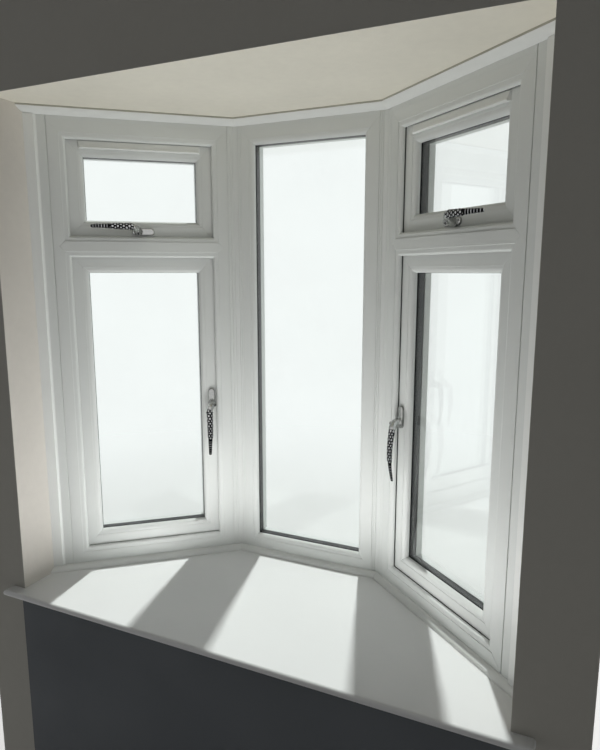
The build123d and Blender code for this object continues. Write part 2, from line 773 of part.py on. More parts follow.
def build_nodes():
    """Every node of the bay, as a list of solids under its name."""
    nodes = {}
    house_pier = pier()
    house_plaster = wall_plaster()
    nodes["left_pier"], nodes["right_pier"] = [mirrored(house_pier)], [house_pier]
    nodes["left_wall_plaster"], nodes["right_wall_plaster"] = [mirrored(house_plaster)], [house_plaster]
    for side, wall in zip(("left", "centre", "right"), dwarf_walls()):
        nodes[side + "_dwarf_wall"] = [wall]
    apron_back = wall_room_y + apron_thickness
    nodes["apron_wall"] = [block(-masonry_x, masonry_x, wall_room_y, apron_back, 0, wall_top_z)]
    nodes["bulkhead"] = [block(-end_x, end_x, wall_room_y, wall_outer_y, masonry_soffit, wall_height)]
    ceiling_plan = bay_region(frame_depth, wall_room_y, masonry_x)
    nodes["ceiling_board"] = [prism(ceiling_plan, soffit_height, masonry_soffit)]
    nodes["eaves_soffit"] = bay_run(eaves_soffit_section(), back_y=wall_outer_y)
    nodes["roof_deck"] = [roof_deck()]
    nodes["fascia"] = bay_run(fascia_section(), back_y=wall_outer_y)
    nodes["roof_covering"] = [roof_covering()]
    nodes["roof_flashing"] = [flashing()]

    for side, piece in sides(side_frame()).items():
        nodes[side + "_frame"] = [piece]
    nodes["centre_frame"] = [facet_place("centre") * centre_frame()]
    nodes["left_beads"], nodes["right_beads"] = [], []
    spacers = [facet_place("centre") * spacer("centre")]
    glazing_seals = [facet_place("centre") * glazing_gasket("centre")]
    sash_seals = []
    for kind in ("fanlight", "casement"):
        for side, piece in sides(sash(kind)).items():
            nodes[side + "_" + kind + "_sash"] = [piece]
        for side, piece in sides(beads(kind)).items():
            nodes[side + "_beads"].append(piece)
        for pane in glass_unit(kind):
            for side, piece in sides(pane).items():
                nodes.setdefault(side + "_" + kind + "_glass", []).append(piece)
        spacers += sides(spacer(kind)).values()
        glazing_seals += sides(glazing_gasket(kind)).values()
        sash_seals += sides(sash_gasket(kind)).values()
    nodes["centre_beads"] = [facet_place("centre") * beads("centre")]
    nodes["centre_glass"] = [facet_place("centre") * pane for pane in glass_unit("centre")]
    nodes["spacer_bars"] = spacers
    nodes["glazing_seals"] = glazing_seals
    nodes["sash_seals"] = sash_seals

    pole, cover, jamb = bay_pole(), pole_cover(), jamb_trim()
    nodes["left_pole"], nodes["right_pole"] = [mirrored(pole)], [pole]
    nodes["left_pole_cover"], nodes["right_pole_cover"] = [mirrored(cover)], [cover]
    nodes["jamb_trims"] = [jamb, mirrored(jamb)]
    nodes["frame_extensions"] = frame_extensions()
    nodes["head_trim"] = bay_run(head_trim_section(), half_width=half_recess)
    nodes["cill_trim"] = bay_run(cill_trim_section(), half_width=half_recess)
    nodes["window_board"] = [window_board()]
    nodes["outside_cill"] = bay_run(cill_section(), half_width=masonry_x)
    vent = facet_place("right") * trickle_vent()
    nodes["trickle_vents"] = [vent, mirrored(vent)]
    nodes["handle_bases"] = handle_pieces([handle_base(), handle_base()])
    nodes["handle_levers"] = handle_pieces([handle_lever(lever_length), handle_lever(fanlight_lever_length)])
    return nodes


def main():
    """Writes one file for each node, moved so that the origin is under the middle of the part."""
    os.makedirs("parts", exist_ok=True)
    for name, pieces in build_nodes().items():
        solids = [solid for piece in pieces for solid in piece.solids()]
        placed = [Pos(0, origin_shift, 0) * solid for solid in solids]
        export_step(placed[0] if len(placed) == 1 else Compound(children=placed), f"parts/{name}.step")


main()
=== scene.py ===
# Bay window: finishes, brickwork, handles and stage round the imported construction.
# Lengths are metres. X runs to the right seen from the room, Y outwards and Z up from the ground.
import math
import random

import bmesh
import bpy
from bpy.props import FloatProperty, FloatVectorProperty, IntProperty, PointerProperty
from mathutils import Matrix, Vector, noise


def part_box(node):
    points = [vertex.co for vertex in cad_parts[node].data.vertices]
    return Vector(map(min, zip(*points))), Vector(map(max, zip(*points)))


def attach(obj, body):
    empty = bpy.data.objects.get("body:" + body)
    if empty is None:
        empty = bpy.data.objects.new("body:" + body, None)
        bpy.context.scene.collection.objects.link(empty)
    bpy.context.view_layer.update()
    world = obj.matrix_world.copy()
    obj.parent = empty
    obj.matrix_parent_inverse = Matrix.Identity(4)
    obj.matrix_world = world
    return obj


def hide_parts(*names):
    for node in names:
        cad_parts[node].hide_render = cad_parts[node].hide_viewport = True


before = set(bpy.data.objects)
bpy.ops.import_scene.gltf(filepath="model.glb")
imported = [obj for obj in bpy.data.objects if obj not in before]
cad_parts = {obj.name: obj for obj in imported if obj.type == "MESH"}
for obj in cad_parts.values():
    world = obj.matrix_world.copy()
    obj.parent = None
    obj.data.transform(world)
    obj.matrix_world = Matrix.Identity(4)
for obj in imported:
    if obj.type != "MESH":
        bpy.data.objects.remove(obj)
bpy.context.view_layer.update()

bl_info = {
    "name": "Bay Window",
    "version": (1, 0, 0),
    "blender": (4, 5, 0),
    "location": "3D View > Sidebar > Bay Window",
    "description": "Finishes, brickwork, handles and stage for a splayed bay window",
    "category": "Object",
}

# Setting out of the bay, read from the frame where it shows there
SPLAY = math.radians(40.7)
CENTRE_POLE_REACH = 0.020
FRAME_LINE_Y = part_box("centre_frame")[0].y
CORNER_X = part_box("centre_frame")[1].x + CENTRE_POLE_REACH
PIER_INNER_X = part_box("right_pier")[0].x
DWARF_FACE_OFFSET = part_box("centre_dwarf_wall")[1].y - FRAME_LINE_Y
DWARF_WALL_THICKNESS = 0.250
TRIM_LIP_DEPTH = 0.0046
HEAD_TRIM_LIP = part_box("head_trim")[1].z - TRIM_LIP_DEPTH

# Camera, solved from the straight edges of the photograph
IMAGE_HEIGHT_PX = 750
FOCAL_PX = 614.68
SENSOR_SIZE = 36.0
CAMERA_PLACE = (0.7649, -1.5194, 1.825)
CAMERA_TILT = math.radians(90 - 9.51)
CAMERA_TURN = math.radians(24.80)

PROFILE_NODES = (
    "left_frame", "right_frame", "centre_frame",
    "left_casement_sash", "right_casement_sash", "left_fanlight_sash", "right_fanlight_sash",
    "left_beads", "right_beads", "centre_beads",
    "left_pole", "right_pole", "left_pole_cover", "right_pole_cover",
    "frame_extensions", "outside_cill",
)
TRIM_NODES = ("jamb_trims", "cill_trim", "trickle_vents")
GLASS_NODES = (
    "left_casement_glass", "right_casement_glass", "left_fanlight_glass", "right_fanlight_glass",
    "centre_glass",
)


def paint(red, green, blue):
    """A screen colour, 0 to 255 in each channel, as the linear colour that shaders use."""
    def linear(value):
        value /= 255
        return value / 12.92 if value <= 0.04045 else ((value + 0.055) / 1.055) ** 2.4
    return linear(red), linear(green), linear(blue)


def colour_property(name, description, default):
    """A colour that the user can change."""
    return FloatVectorProperty(name=name, description=description, default=default, subtype="COLOR",
                               min=0.0, max=1.0)


def length_property(name, description, default, high=10.0):
    """A length that the user can change."""
    return FloatProperty(name=name, description=description, default=default, subtype="DISTANCE",
                         unit="LENGTH", min=0.0, max=high, precision=4)


def strength_property(name, description, default):
    """A strength of light that the user can change."""
    return FloatProperty(name=name, description=description, default=default, min=0.0)


def power_property(name, description, default):
    """The power of a lamp, which the user can change."""
    return FloatProperty(name=name, description=description, default=default, min=0.0, unit="POWER")


class BAY_PG_finish(bpy.types.PropertyGroup):
    """Colours and edge softness of the window, the board and the painted surfaces."""
    pvc: colour_property("PVC", "White of the window profiles", paint(228, 231, 228))
    # Painted light: the trims and vents take a lighter white than the frames, for the light their faces
    # catch.
    trim: colour_property("Trims", "Brighter white of the trims and vents", paint(243, 245, 242))
    # Painted shade: the head trim's lip faces into the room under the soffit and is greyed for the shade that
    # falls on it.
    trim_lip_shade: colour_property("Trim lip", "Greyed lip of the head trim", paint(184, 182, 170))
    board: colour_property("Board", "White of the window board", paint(236, 237, 236))
    seal: colour_property("Seals", "Black of the rubber seals", paint(17, 18, 19))
    spacer: colour_property("Spacer bars", "Dark grey of the spacer bars", paint(24, 25, 28))
    glass: colour_property("Glass", "Tint of the panes", paint(250, 253, 252))
    reveal: colour_property("Reveals", "Paint on the plastered reveals", paint(227, 222, 214))
    # The room faces over and beside the bay take this grey, darker than the reveals' cream: partly the wall's
    # own paint, partly painted shade.
    shaded_room_wall: colour_property("Room wall", "Paint over and beside the bay", paint(184, 182, 174))
    apron: colour_property("Apron", "Paint on the wall under the board", paint(90, 94, 98))
    ceiling: colour_property("Soffit", "Paint on the underside of the bay's roof", paint(246, 242, 228))
    timber: colour_property("Painted timber", "Gloss paint on fascia and eaves", paint(228, 228, 224))
    raw_timber: colour_property("Sawn timber", "Softwood of the roof box", paint(188, 160, 122))
    lead: colour_property("Lead", "Weathered sheet lead", paint(128, 133, 139))
    profile_edge: length_property("Profile edge", "Rounding of the PVC edges", 0.0004, high=0.002)
    board_edge: length_property("Plain edge", "Rounding of other edges", 0.0008, high=0.003)


class BAY_PG_bricks(bpy.types.PropertyGroup):
    """Sizes and colours of the brickwork."""
    length: length_property("Length", "Length of a brick", 0.215)
    width: length_property("Width", "Width of a brick", 0.1025)
    gauge: length_property("Gauge", "Height of one course with its joint", 0.0735)
    joint: length_property("Joint", "Thickness of the mortar joints", 0.010)
    recess: length_property("Joint recess", "Depth of the mortar behind the brick face", 0.004)
    arris: length_property("Arris", "Worn rounding of a brick's edges", 0.0035)
    roughness: length_property("Unevenness", "Height of the bumps on a brick's face", 0.0012)
    red: colour_property("Red brick", "Colour of the redder bricks", paint(150, 96, 80))
    dark: colour_property("Dark brick", "Colour of the darker bricks", paint(112, 76, 67))
    mortar: colour_property("Mortar", "Colour of the mortar", paint(176, 162, 144))
    seed: IntProperty(name="Seed", description="Start of the random order of bricks", default=11)


class BAY_PG_handles(bpy.types.PropertyGroup):
    """Sizes and colours of the window handles."""
    bright: colour_property("Bright metal", "Polished plate, boss and neck", paint(176, 177, 175))
    pad: colour_property("Hammered metal", "Raised pads of the tail", paint(192, 194, 195))
    patina: colour_property("Patina", "Black in the hollows of the tail", paint(14, 14, 15))
    cell: length_property("Hammer mark", "Size of one hammer mark on the tail", 0.0096)
    hollow: length_property("Hollow depth", "Depth of the hollows between hammer marks", 0.0009)
    marks_round: IntProperty(name="Marks round", description="Hammer marks once round the tail", default=6,
                             min=3, max=20)
    seed: IntProperty(name="Seed", description="Start of the random order of hammer marks", default=5)


class BAY_PG_stage(bpy.types.PropertyGroup):
    """Floor and light."""
    floor: colour_property("Floor", "Colour of the studio floor", paint(226, 226, 224))
    floor_bounce: colour_property("Floor bounce", "Colour of the light off the floor", paint(160, 160, 159))
    floor_size: length_property("Floor size", "Side of the square floor", 14.0, high=50.0)
    sky: strength_property("Sky", "Strength of the even light outside", 0.31)
    room: strength_property("Room", "Strength of the even light in the room", 0.07)
    key: power_property("Key", "Power of the soft light outside the window", 1190.0)
    side: power_property("Side", "Power of the soft light that comes in from the right", 44.0)
    fill: power_property("Fill", "Power of the low soft light in the room", 0.8)
    bounce: power_property("Bounce", "Power of the soft light that rises from the board", 5.3)
    floor_glow: strength_property("Floor glow", "Light that the camera sees added to the floor", 0.06)
    fade_start: length_property("Fade start", "Distance where the floor starts to fade", 1.6)
    fade_end: length_property("Fade end", "Distance where the floor has faded to the backdrop", 5.5)


# Sockets and plain values of the shader node groups
COLOUR = "NodeSocketColor"
VALUE = "NodeSocketFloat"
VECTOR = "NodeSocketVector"
WHITE = (1.0, 1.0, 1.0, 1.0)
DUST = (0.3, 0.29, 0.26, 1.0)
EVEN = (1.0, 1.0, 1.0)

# The mottle's slow and fine noise, and the middle span of noise that its mask is taken from
SLOW_SHARE = 0.7
FINE_TO_SLOW = 13.0
NOISE_LOW = 0.32
NOISE_HIGH = 0.68


class Graph:
    """Adds nodes to a shader tree and joins them."""

    def __init__(self, tree):
        self.tree = tree

    def feed(self, target, value):
        """Joins a socket to another one, or sets its value."""
        if isinstance(value, bpy.types.NodeSocket):
            self.tree.links.new(value, target)
        else:
            target.default_value = value

    def node(self, kind, inputs=None, **settings):
        """A new node with its settings and inputs."""
        made = self.tree.nodes.new(kind)
        for name, value in settings.items():
            setattr(made, name, value)
        for key, value in (inputs or {}).items():
            self.feed(made.inputs[key], value)
        return made

    def math(self, operation, first, second=0.0, clamp=False):
        """The result of a sum on one or two values."""
        made = self.node("ShaderNodeMath", {0: first, 1: second}, operation=operation, use_clamp=clamp)
        return made.outputs[0]

    def mix(self, factor, first, second, blend_type="MIX"):
        """A mix of two colours, which are the node's inputs 6 and 7."""
        made = self.node("ShaderNodeMix", {"Factor": factor, 6: first, 7: second}, data_type="RGBA",
                         blend_type=blend_type)
        return made.outputs[2]

    def mix_shaders(self, factor, first, second):
        """A mix of what two shader nodes put out."""
        return self.node("ShaderNodeMixShader", {0: factor, 1: first.outputs[0], 2: second.outputs[0]})

    def spread(self, value, low, high, to_low=0.0, to_high=1.0, **settings):
        """A value carried from one span to another."""
        made = self.node("ShaderNodeMapRange", {"Value": value, "From Min": low, "From Max": high,
                                                "To Min": to_low, "To Max": to_high}, **settings)
        return made.outputs[0]

    def grey(self, level):
        """A grey colour of a level."""
        return self.node("ShaderNodeCombineColor", {0: level, 1: level, 2: level}).outputs[0]

    def place(self, stretch=None):
        """Where a point lies on its object, stretched along the axes if so given."""
        point = self.node("ShaderNodeTexCoord").outputs["Object"]
        if stretch is None:
            return point
        return self.node("ShaderNodeVectorMath", {0: point, 1: stretch}, operation="MULTIPLY").outputs[0]

    def axis(self, vector, number):
        """One number of a vector: 0 for X, 1 for Y and 2 for Z."""
        return self.node("ShaderNodeSeparateXYZ", {0: vector}).outputs[number]

    def noise(self, vector, scale, detail, roughness=0.5):
        """Cloudy noise from 0 to 1."""
        made = self.node("ShaderNodeTexNoise", {"Vector": vector, "Scale": scale, "Detail": detail,
                                                "Roughness": roughness})
        return made.outputs[0]


def group(name, inputs, outputs):
    """An empty shader node group with its named sockets, its graph and its two end nodes."""
    tree = bpy.data.node_groups.new(name, "ShaderNodeTree")
    for label, kind, default in inputs:
        socket = tree.interface.new_socket(label, in_out="INPUT", socket_type=kind)
        socket.default_value = default
    for label, kind in outputs:
        tree.interface.new_socket(label, in_out="OUTPUT", socket_type=kind)
    graph = Graph(tree)
    return tree, graph, graph.node("NodeGroupInput").outputs, graph.node("NodeGroupOutput").inputs


def mottle_group():
    """Slow and fine changes of tone over a surface, as paint, plastic and metal have."""
    tree, graph, given, put = group(
        "Mottle",
        [("Colour", COLOUR, WHITE), ("Amount", VALUE, 0.06), ("Scale", VALUE, 6.0),
         ("Stretch", VECTOR, EVEN)],
        [("Colour", COLOUR), ("Mask", VALUE)])
    place = graph.place(given["Stretch"])
    slow = graph.noise(place, given["Scale"], 5.0, 0.6)
    fine = graph.noise(place, graph.math("MULTIPLY", given["Scale"], FINE_TO_SLOW), 3.0)
    slow_part = graph.math("MULTIPLY", slow, SLOW_SHARE)
    fine_part = graph.math("MULTIPLY", fine, 1.0 - SLOW_SHARE)
    mask = graph.spread(graph.math("ADD", slow_part, fine_part), NOISE_LOW, NOISE_HIGH)
    darkest = graph.math("SUBTRACT", 1.0, given["Amount"])
    tone = graph.math("ADD", darkest, graph.math("MULTIPLY", mask, given["Amount"]))
    graph.feed(put["Colour"], graph.mix(1.0, given["Colour"], graph.grey(tone), "MULTIPLY"))
    graph.feed(put["Mask"], mask)
    return tree


def grain_group():
    """Fine unevenness of a moulded, rolled or brushed surface, as a normal and a height."""
    tree, graph, given, put = group(
        "Grain", [("Scale", VALUE, 400.0), ("Depth", VALUE, 0.0002), ("Stretch", VECTOR, EVEN)],
        [("Normal", VECTOR), ("Height", VALUE)])
    height = graph.noise(graph.place(given["Stretch"]), given["Scale"], 4.0, 0.55)
    bump = graph.node("ShaderNodeBump", {"Strength": 1.0, "Distance": given["Depth"], "Height": height})
    graph.feed(put["Normal"], bump.outputs[0])
    graph.feed(put["Height"], height)
    return tree


def dust_group():
    """Dust and weathering that settle on the surfaces that face up."""
    tree, graph, given, put = group(
        "Dust",
        [("Colour", COLOUR, WHITE), ("Dust Colour", COLOUR, DUST), ("Amount", VALUE, 0.3),
         ("Scale", VALUE, 18.0)],
        [("Colour", COLOUR), ("Mask", VALUE)])
    upward = graph.axis(graph.node("ShaderNodeNewGeometry").outputs["Normal"], 2)
    patches = graph.noise(graph.place(), given["Scale"], 6.0)
    mask = graph.math("MULTIPLY", graph.spread(upward, 0.2, 0.9), graph.spread(patches, 0.40, 0.75))
    mask = graph.math("MULTIPLY", mask, given["Amount"], clamp=True)
    graph.feed(put["Colour"], graph.mix(mask, given["Colour"], given["Dust Colour"]))
    graph.feed(put["Mask"], mask)
    return tree


def room_shade_group():
    """A mask that is 1 on the faces that look straight into the room, which take a darker colour, partly
    painted shade.
    """
    tree, graph, _, put = group("Room Side Shade", [], [("Mask", VALUE)])
    outward = graph.axis(graph.node("ShaderNodeNewGeometry").outputs["True Normal"], 1)
    graph.feed(put["Mask"], graph.math("LESS_THAN", outward, -0.9))
    return tree


def above_group():
    """A mask that is 1 over a given height, such as on the lip of a trim, where painted shade goes."""
    tree, graph, given, put = group("Above", [("Height", VALUE, 0.0)], [("Mask", VALUE)])
    graph.feed(put["Mask"], graph.math("GREATER_THAN", graph.axis(graph.place(), 2), given["Height"]))
    return tree


GROUP_MAKERS = {
    "Mottle": mottle_group, "Grain": grain_group, "Dust": dust_group, "Room Side Shade": room_shade_group,
    "Above": above_group,
}


class Finish:
    """A material with one Principled shader, and the shared effects placed before it."""

    def __init__(self, name):
        self.material = bpy.data.materials.new(name)
        self.material.use_nodes = True
        self.graph = Graph(self.material.node_tree)
        self.shader = self.material.node_tree.nodes["Principled BSDF"]

    def effect(self, name, inputs=None):
        """One of the shared effects, made when it is first used."""
        tree = bpy.data.node_groups.get(name) or GROUP_MAKERS[name]()
        made = self.graph.node("ShaderNodeGroup", node_tree=tree)
        for key, value in (inputs or {}).items():
            self.graph.feed(made.inputs[key], value)
        return made.outputs

    def mottle(self, colour, amount, scale, stretch=EVEN):
        """A colour that changes over the surface, with the mask of its changes."""
        return self.effect("Mottle", {"Colour": colour, "Amount": amount, "Scale": scale,
                                      "Stretch": stretch})

    def dust(self, tone, colour, amount, scale):
        """A mottled colour with dust or weather on it."""
        return self.effect("Dust", {"Colour": tone["Colour"], "Dust Colour": opaque(colour),
                                    "Amount": amount, "Scale": scale})

    def grain(self, scale, depth, stretch=EVEN):
        """The normal of a finely uneven surface."""
        return self.effect("Grain", {"Scale": scale, "Depth": depth, "Stretch": stretch})["Normal"]

    def roughness(self, tone, smooth, rough):
        """Roughness between two levels, which follows the mask of a mottle."""
        return self.graph.spread(tone["Mask"], 0.0, 1.0, smooth, rough)

    def surface(self, **sockets):
        """Feeds or sets the shader's sockets, named with underscores for spaces."""
        for key, value in sockets.items():
            self.graph.feed(self.shader.inputs[key.replace("_", " ")], value)
        return self.material

    def output(self, shader):
        """Puts another shader out in place of the Principled one."""
        self.graph.feed(self.graph.tree.nodes["Material Output"].inputs["Surface"], shader.outputs[0])
        return self.material


def opaque(colour):
    """A colour property as the four numbers of a shader colour."""
    return (*colour, 1.0)


def pvc_finish(name, colour, lip_shade_colour=None, lip_height=0.0):
    """Satin white PVC with the faint ripple of an extrusion; what lies over a height may be greyer, as
    painted shade.
    """
    finish = Finish(name)
    base = opaque(colour)
    if lip_shade_colour is not None:
        # Painted shade: over this height the lip takes the greyer colour.
        lip = finish.effect("Above", {"Height": lip_height})["Mask"]
        base = finish.graph.mix(lip, base, opaque(lip_shade_colour))
    tone = finish.mottle(base, amount=0.012, scale=3.0)
    return finish.surface(Base_Color=tone["Colour"], Roughness=finish.roughness(tone, 0.28, 0.33),
                          Normal=finish.grain(scale=50.0, depth=0.00002))


def board_finish(settings):
    """Smooth white board, a little brighter and glossier than the frames."""
    finish = Finish("white_board_smooth")
    tone = finish.mottle(opaque(settings.board), amount=0.018, scale=2.5, stretch=(0.4, 1.0, 1.0))
    return finish.surface(Base_Color=tone["Colour"], Roughness=finish.roughness(tone, 0.30, 0.42),
                          Normal=finish.grain(scale=300.0, depth=0.00003))


def seal_finish(settings):
    """Matt black rubber with a dusty bloom."""
    finish = Finish("black_rubber")
    tone = finish.mottle(opaque(settings.seal), amount=0.35, scale=40.0)
    return finish.surface(Base_Color=tone["Colour"], Roughness=finish.roughness(tone, 0.55, 0.75),
                          Normal=finish.grain(scale=900.0, depth=0.00008))


def spacer_finish(settings):
    """Dark spacer bar of a sealed unit, with a faint sheen."""
    finish = Finish("dark_spacer")
    tone = finish.mottle(opaque(settings.spacer), amount=0.25, scale=25.0, stretch=(1.0, 1.0, 0.1))
    return finish.surface(Base_Color=tone["Colour"], Roughness=finish.roughness(tone, 0.35, 0.5),
                          Normal=finish.grain(scale=500.0, depth=0.00005))


def glass_finish(settings):
    """Clear float glass that lets the lamps through, with a breath of film on it."""
    finish = Finish("clear_glass")
    smear = finish.mottle(opaque(settings.glass), amount=0.02, scale=4.0)
    finish.surface(Base_Color=smear["Colour"], Roughness=0.0, IOR=1.45, Transmission_Weight=1.0)
    graph = finish.graph
    shadow = graph.node("ShaderNodeLightPath").outputs["Is Shadow Ray"]
    clear = graph.node("ShaderNodeBsdfTransparent", {"Color": (0.97, 0.98, 0.975, 1.0)})
    return finish.output(graph.mix_shaders(shadow, finish.shader, clear))


def wall_paint_finish(name, colour, shaded_room_colour=None):
    """Matt emulsion with the stipple of a roller; its room faces may take a darker colour, partly painted
    shade.
    """
    finish = Finish(name)
    base = opaque(colour)
    if shaded_room_colour is not None:
        base = finish.graph.mix(finish.effect("Room Side Shade")["Mask"], base, opaque(shaded_room_colour))
    tone = finish.mottle(base, amount=0.08, scale=3.5)
    return finish.surface(Base_Color=tone["Colour"], Roughness=finish.roughness(tone, 0.72, 0.9),
                          Normal=finish.grain(scale=170.0, depth=0.0003))


def timber_paint_finish(settings):
    """Gloss paint with brush marks along the boards."""
    finish = Finish("gloss_painted_timber")
    tone = finish.mottle(opaque(settings.timber), amount=0.06, scale=7.0)
    aged = finish.dust(tone, paint(150, 146, 134), amount=0.5, scale=22.0)
    return finish.surface(Base_Color=aged["Colour"], Roughness=finish.roughness(tone, 0.22, 0.38),
                          Normal=finish.grain(scale=120.0, depth=0.0004, stretch=(0.06, 0.06, 1.0)))


def raw_timber_finish(settings):
    """Sawn softwood of the roof box."""
    finish = Finish("sawn_softwood")
    tone = finish.mottle(opaque(settings.raw_timber), amount=0.35, scale=16.0, stretch=(0.08, 0.3, 1.0))
    return finish.surface(Base_Color=tone["Colour"], Roughness=0.8,
                          Normal=finish.grain(scale=260.0, depth=0.0006, stretch=(0.05, 0.2, 1.0)))


def lead_finish(settings):
    """Dull sheet lead with pale runs of patina."""
    finish = Finish("weathered_lead")
    tone = finish.mottle(opaque(settings.lead), amount=0.30, scale=8.0)
    aged = finish.dust(tone, paint(168, 172, 174), amount=0.8, scale=9.0)
    return finish.surface(Base_Color=aged["Colour"], Roughness=finish.roughness(tone, 0.42, 0.62),
                          Metallic=0.35, Normal=finish.grain(scale=60.0, depth=0.0012))


def brick_finish(settings):
    """Fired clay: each brick has its own tone, with darker cloud marks, pits and sand."""
    finish = Finish("red_brick")
    share = finish.graph.node("ShaderNodeAttribute", attribute_name="brick_tone").outputs["Fac"]
    fired = finish.graph.mix(share, opaque(settings.dark), opaque(settings.red))
    tone = finish.mottle(fired, amount=0.42, scale=14.0)
    aged = finish.dust(tone, paint(120, 110, 98), amount=0.5, scale=30.0)
    return finish.surface(Base_Color=aged["Colour"], Roughness=0.88,
                          Normal=finish.grain(scale=330.0, depth=0.0011))


def mortar_finish(settings):
    """Sandy lime-grey mortar."""
    finish = Finish("sandy_mortar")
    tone = finish.mottle(opaque(settings.mortar), amount=0.28, scale=20.0)
    return finish.surface(Base_Color=tone["Colour"], Roughness=0.95,
                          Normal=finish.grain(scale=520.0, depth=0.0012))


def bright_metal_finish(settings):
    """Polished nickel with fine wiping marks."""
    finish = Finish("polished_nickel")
    tone = finish.mottle(opaque(settings.bright), amount=0.10, scale=60.0)
    return finish.surface(Base_Color=tone["Colour"], Roughness=finish.roughness(tone, 0.16, 0.30),
                          Metallic=1.0, Normal=finish.grain(scale=700.0, depth=0.00004))


def hammered_metal_finish(settings):
    """Hammered pewter: bright pads, with black patina left in the hollows."""
    finish = Finish("hammered_pewter")
    graph = finish.graph
    pad = graph.node("ShaderNodeAttribute", attribute_name="pad").outputs["Fac"]
    worn = graph.spread(pad, 0.35, 0.65)
    tone = finish.mottle(opaque(settings.pad), amount=0.25, scale=90.0)
    colour = graph.mix(worn, opaque(settings.patina), tone["Colour"])
    return finish.surface(Base_Color=colour, Roughness=graph.spread(worn, 0.0, 1.0, 0.55, 0.24),
                          Metallic=1.0, Normal=finish.grain(scale=800.0, depth=0.00008))


def button_finish(settings):
    """Black moulded plastic of the lock button."""
    finish = Finish("black_button")
    tone = finish.mottle(opaque(settings.patina), amount=0.3, scale=120.0)
    return finish.surface(Base_Color=tone["Colour"], Roughness=finish.roughness(tone, 0.3, 0.5),
                          Normal=finish.grain(scale=900.0, depth=0.00004))


# Softened edges of the dressed nodes
WELD_GAP = 0.00001
SHARP_ANGLE = math.radians(32)


def soften(node, width):
    """Rounds a CAD node's edges a little, with modifiers alone."""
    node.modifiers.new("weld", "WELD").merge_threshold = WELD_GAP
    bevel = node.modifiers.new("soft_edges", "BEVEL")
    bevel.width = width
    bevel.segments = 2
    bevel.limit_method = "ANGLE"
    bevel.angle_limit = SHARP_ANGLE
    bevel.use_clamp_overlap = False
    node.modifiers.new("even_normals", "WEIGHTED_NORMAL")


def dress(names, material, edge=0.0):
    """Gives the named CAD nodes a finish, and soft edges where a width is given."""
    for name in names:
        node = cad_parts[name]
        node.data.materials.clear()
        node.data.materials.append(material)
        if edge:
            soften(node, edge)


def new_piece(name, mesh, materials, replaced):
    """A piece of the scene that stands for CAD nodes and rides on the part."""
    for material in materials:
        mesh.materials.append(material)
    piece = bpy.data.objects.new(name, mesh)
    bpy.context.scene.collection.objects.link(piece)
    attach(piece, "root")
    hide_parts(*replaced)
    return piece


def finish_mesh(bm, name):
    """A mesh of what was built, with outward normals."""
    bmesh.ops.recalc_face_normals(bm, faces=bm.faces)
    mesh = bpy.data.meshes.new(name)
    bm.to_mesh(mesh)
    bm.free()
    return mesh


# Brick faces: the step of their mesh, the noise that pits and chips them, and the least cut of a brick
FACE_STEP = 0.045
PIT_FINENESS = 28
PIT_LEVEL = 0.6
CHIP_FINENESS = 60
CHIP_LEVEL = 0.35
NOISE_SHIFT = 50
SHORTEST_SHARE = 0.2
SLIVER_SHARE = 0.25
COURSE_SLACK = 0.2
SQUARE = ((0, 0), (1, 0), (1, 1), (0, 1))
MORTAR_INDEX = 1
PLASTER_INDEX = 2


def new_brickwork():
    """An empty mesh in the making, with the layer that holds each brick's tone."""
    bm = bmesh.new()
    return bm, bm.verts.layers.float.new("brick_tone")


def steps(low, high, edge):
    """Places for vertices along one side of a brick: close at the ends, wider between them."""
    inner = high - low - 2 * edge
    count = max(1, round(inner / FACE_STEP))
    return [low] + [low + edge + inner * i / count for i in range(count + 1)] + [high]


def add_brick(bm, tone_layer, corner, opposite, settings, rng):
    """One brick with rounded arrises, an uneven face and its own tone."""
    edge = settings.arris
    axes = [steps(corner[k], opposite[k], edge) for k in range(3)]
    counts = [len(axis) for axis in axes]
    tone = rng.random()
    shift = Vector([rng.uniform(-NOISE_SHIFT, NOISE_SHIFT) for _ in range(3)])
    made = {}

    def vertex(i, j, k):
        key = (i, j, k)
        if key in made:
            return made[key]
        point = Vector((axes[0][i], axes[1][j], axes[2][k]))
        core = Vector((min(max(point[a], corner[a] + edge), opposite[a] - edge) for a in range(3)))
        out = point - core
        if out.length > 0:
            pit = min(noise.noise(point * PIT_FINENESS + shift) - PIT_LEVEL, 0.0) * settings.roughness
            chip = max(0.0, noise.noise(point * CHIP_FINENESS + shift) - CHIP_LEVEL) * settings.arris
            corner_share = sum(1 for a in range(3) if abs(out[a]) > 0) - 1
            out = out.normalized() * (edge + pit - chip * corner_share)
        made[key] = bm.verts.new(core + out)
        made[key][tone_layer] = tone
        return made[key]

    for axis in range(3):
        first, second = (axis + 1) % 3, (axis + 2) % 3
        for level in (0, counts[axis] - 1):
            for a in range(counts[first] - 1):
                for b in range(counts[second] - 1):
                    ring = []
                    for step_a, step_b in SQUARE:
                        index = [0, 0, 0]
                        index[axis], index[first], index[second] = level, a + step_a, b + step_b
                        ring.append(vertex(*index))
                    if level == 0:
                        ring.reverse()
                    bm.faces.new(ring).smooth = True


def add_block(bm, low, high, material_index=MORTAR_INDEX):
    """A plain block of mortar or plaster between two corners."""
    middle = (Vector(low) + Vector(high)) / 2
    size = Vector(high) - Vector(low)
    shape = Matrix.Translation(middle) @ Matrix.Diagonal((*size, 1.0))
    made = bmesh.ops.create_cube(bm, size=1.0, matrix=shape)
    for face in {f for v in made["verts"] for f in v.link_faces}:
        face.material_index = material_index


def trim(bm, point, normal):
    """Cuts away what lies beyond a plane and closes the cut."""
    cut = bmesh.ops.bisect_plane(bm, geom=bm.verts[:] + bm.edges[:] + bm.faces[:], dist=1e-7,
                                 plane_co=point, plane_no=normal, clear_outer=True)
    edges = [part for part in cut["geom_cut"] if isinstance(part, bmesh.types.BMEdge)]
    bmesh.ops.holes_fill(bm, edges=edges)


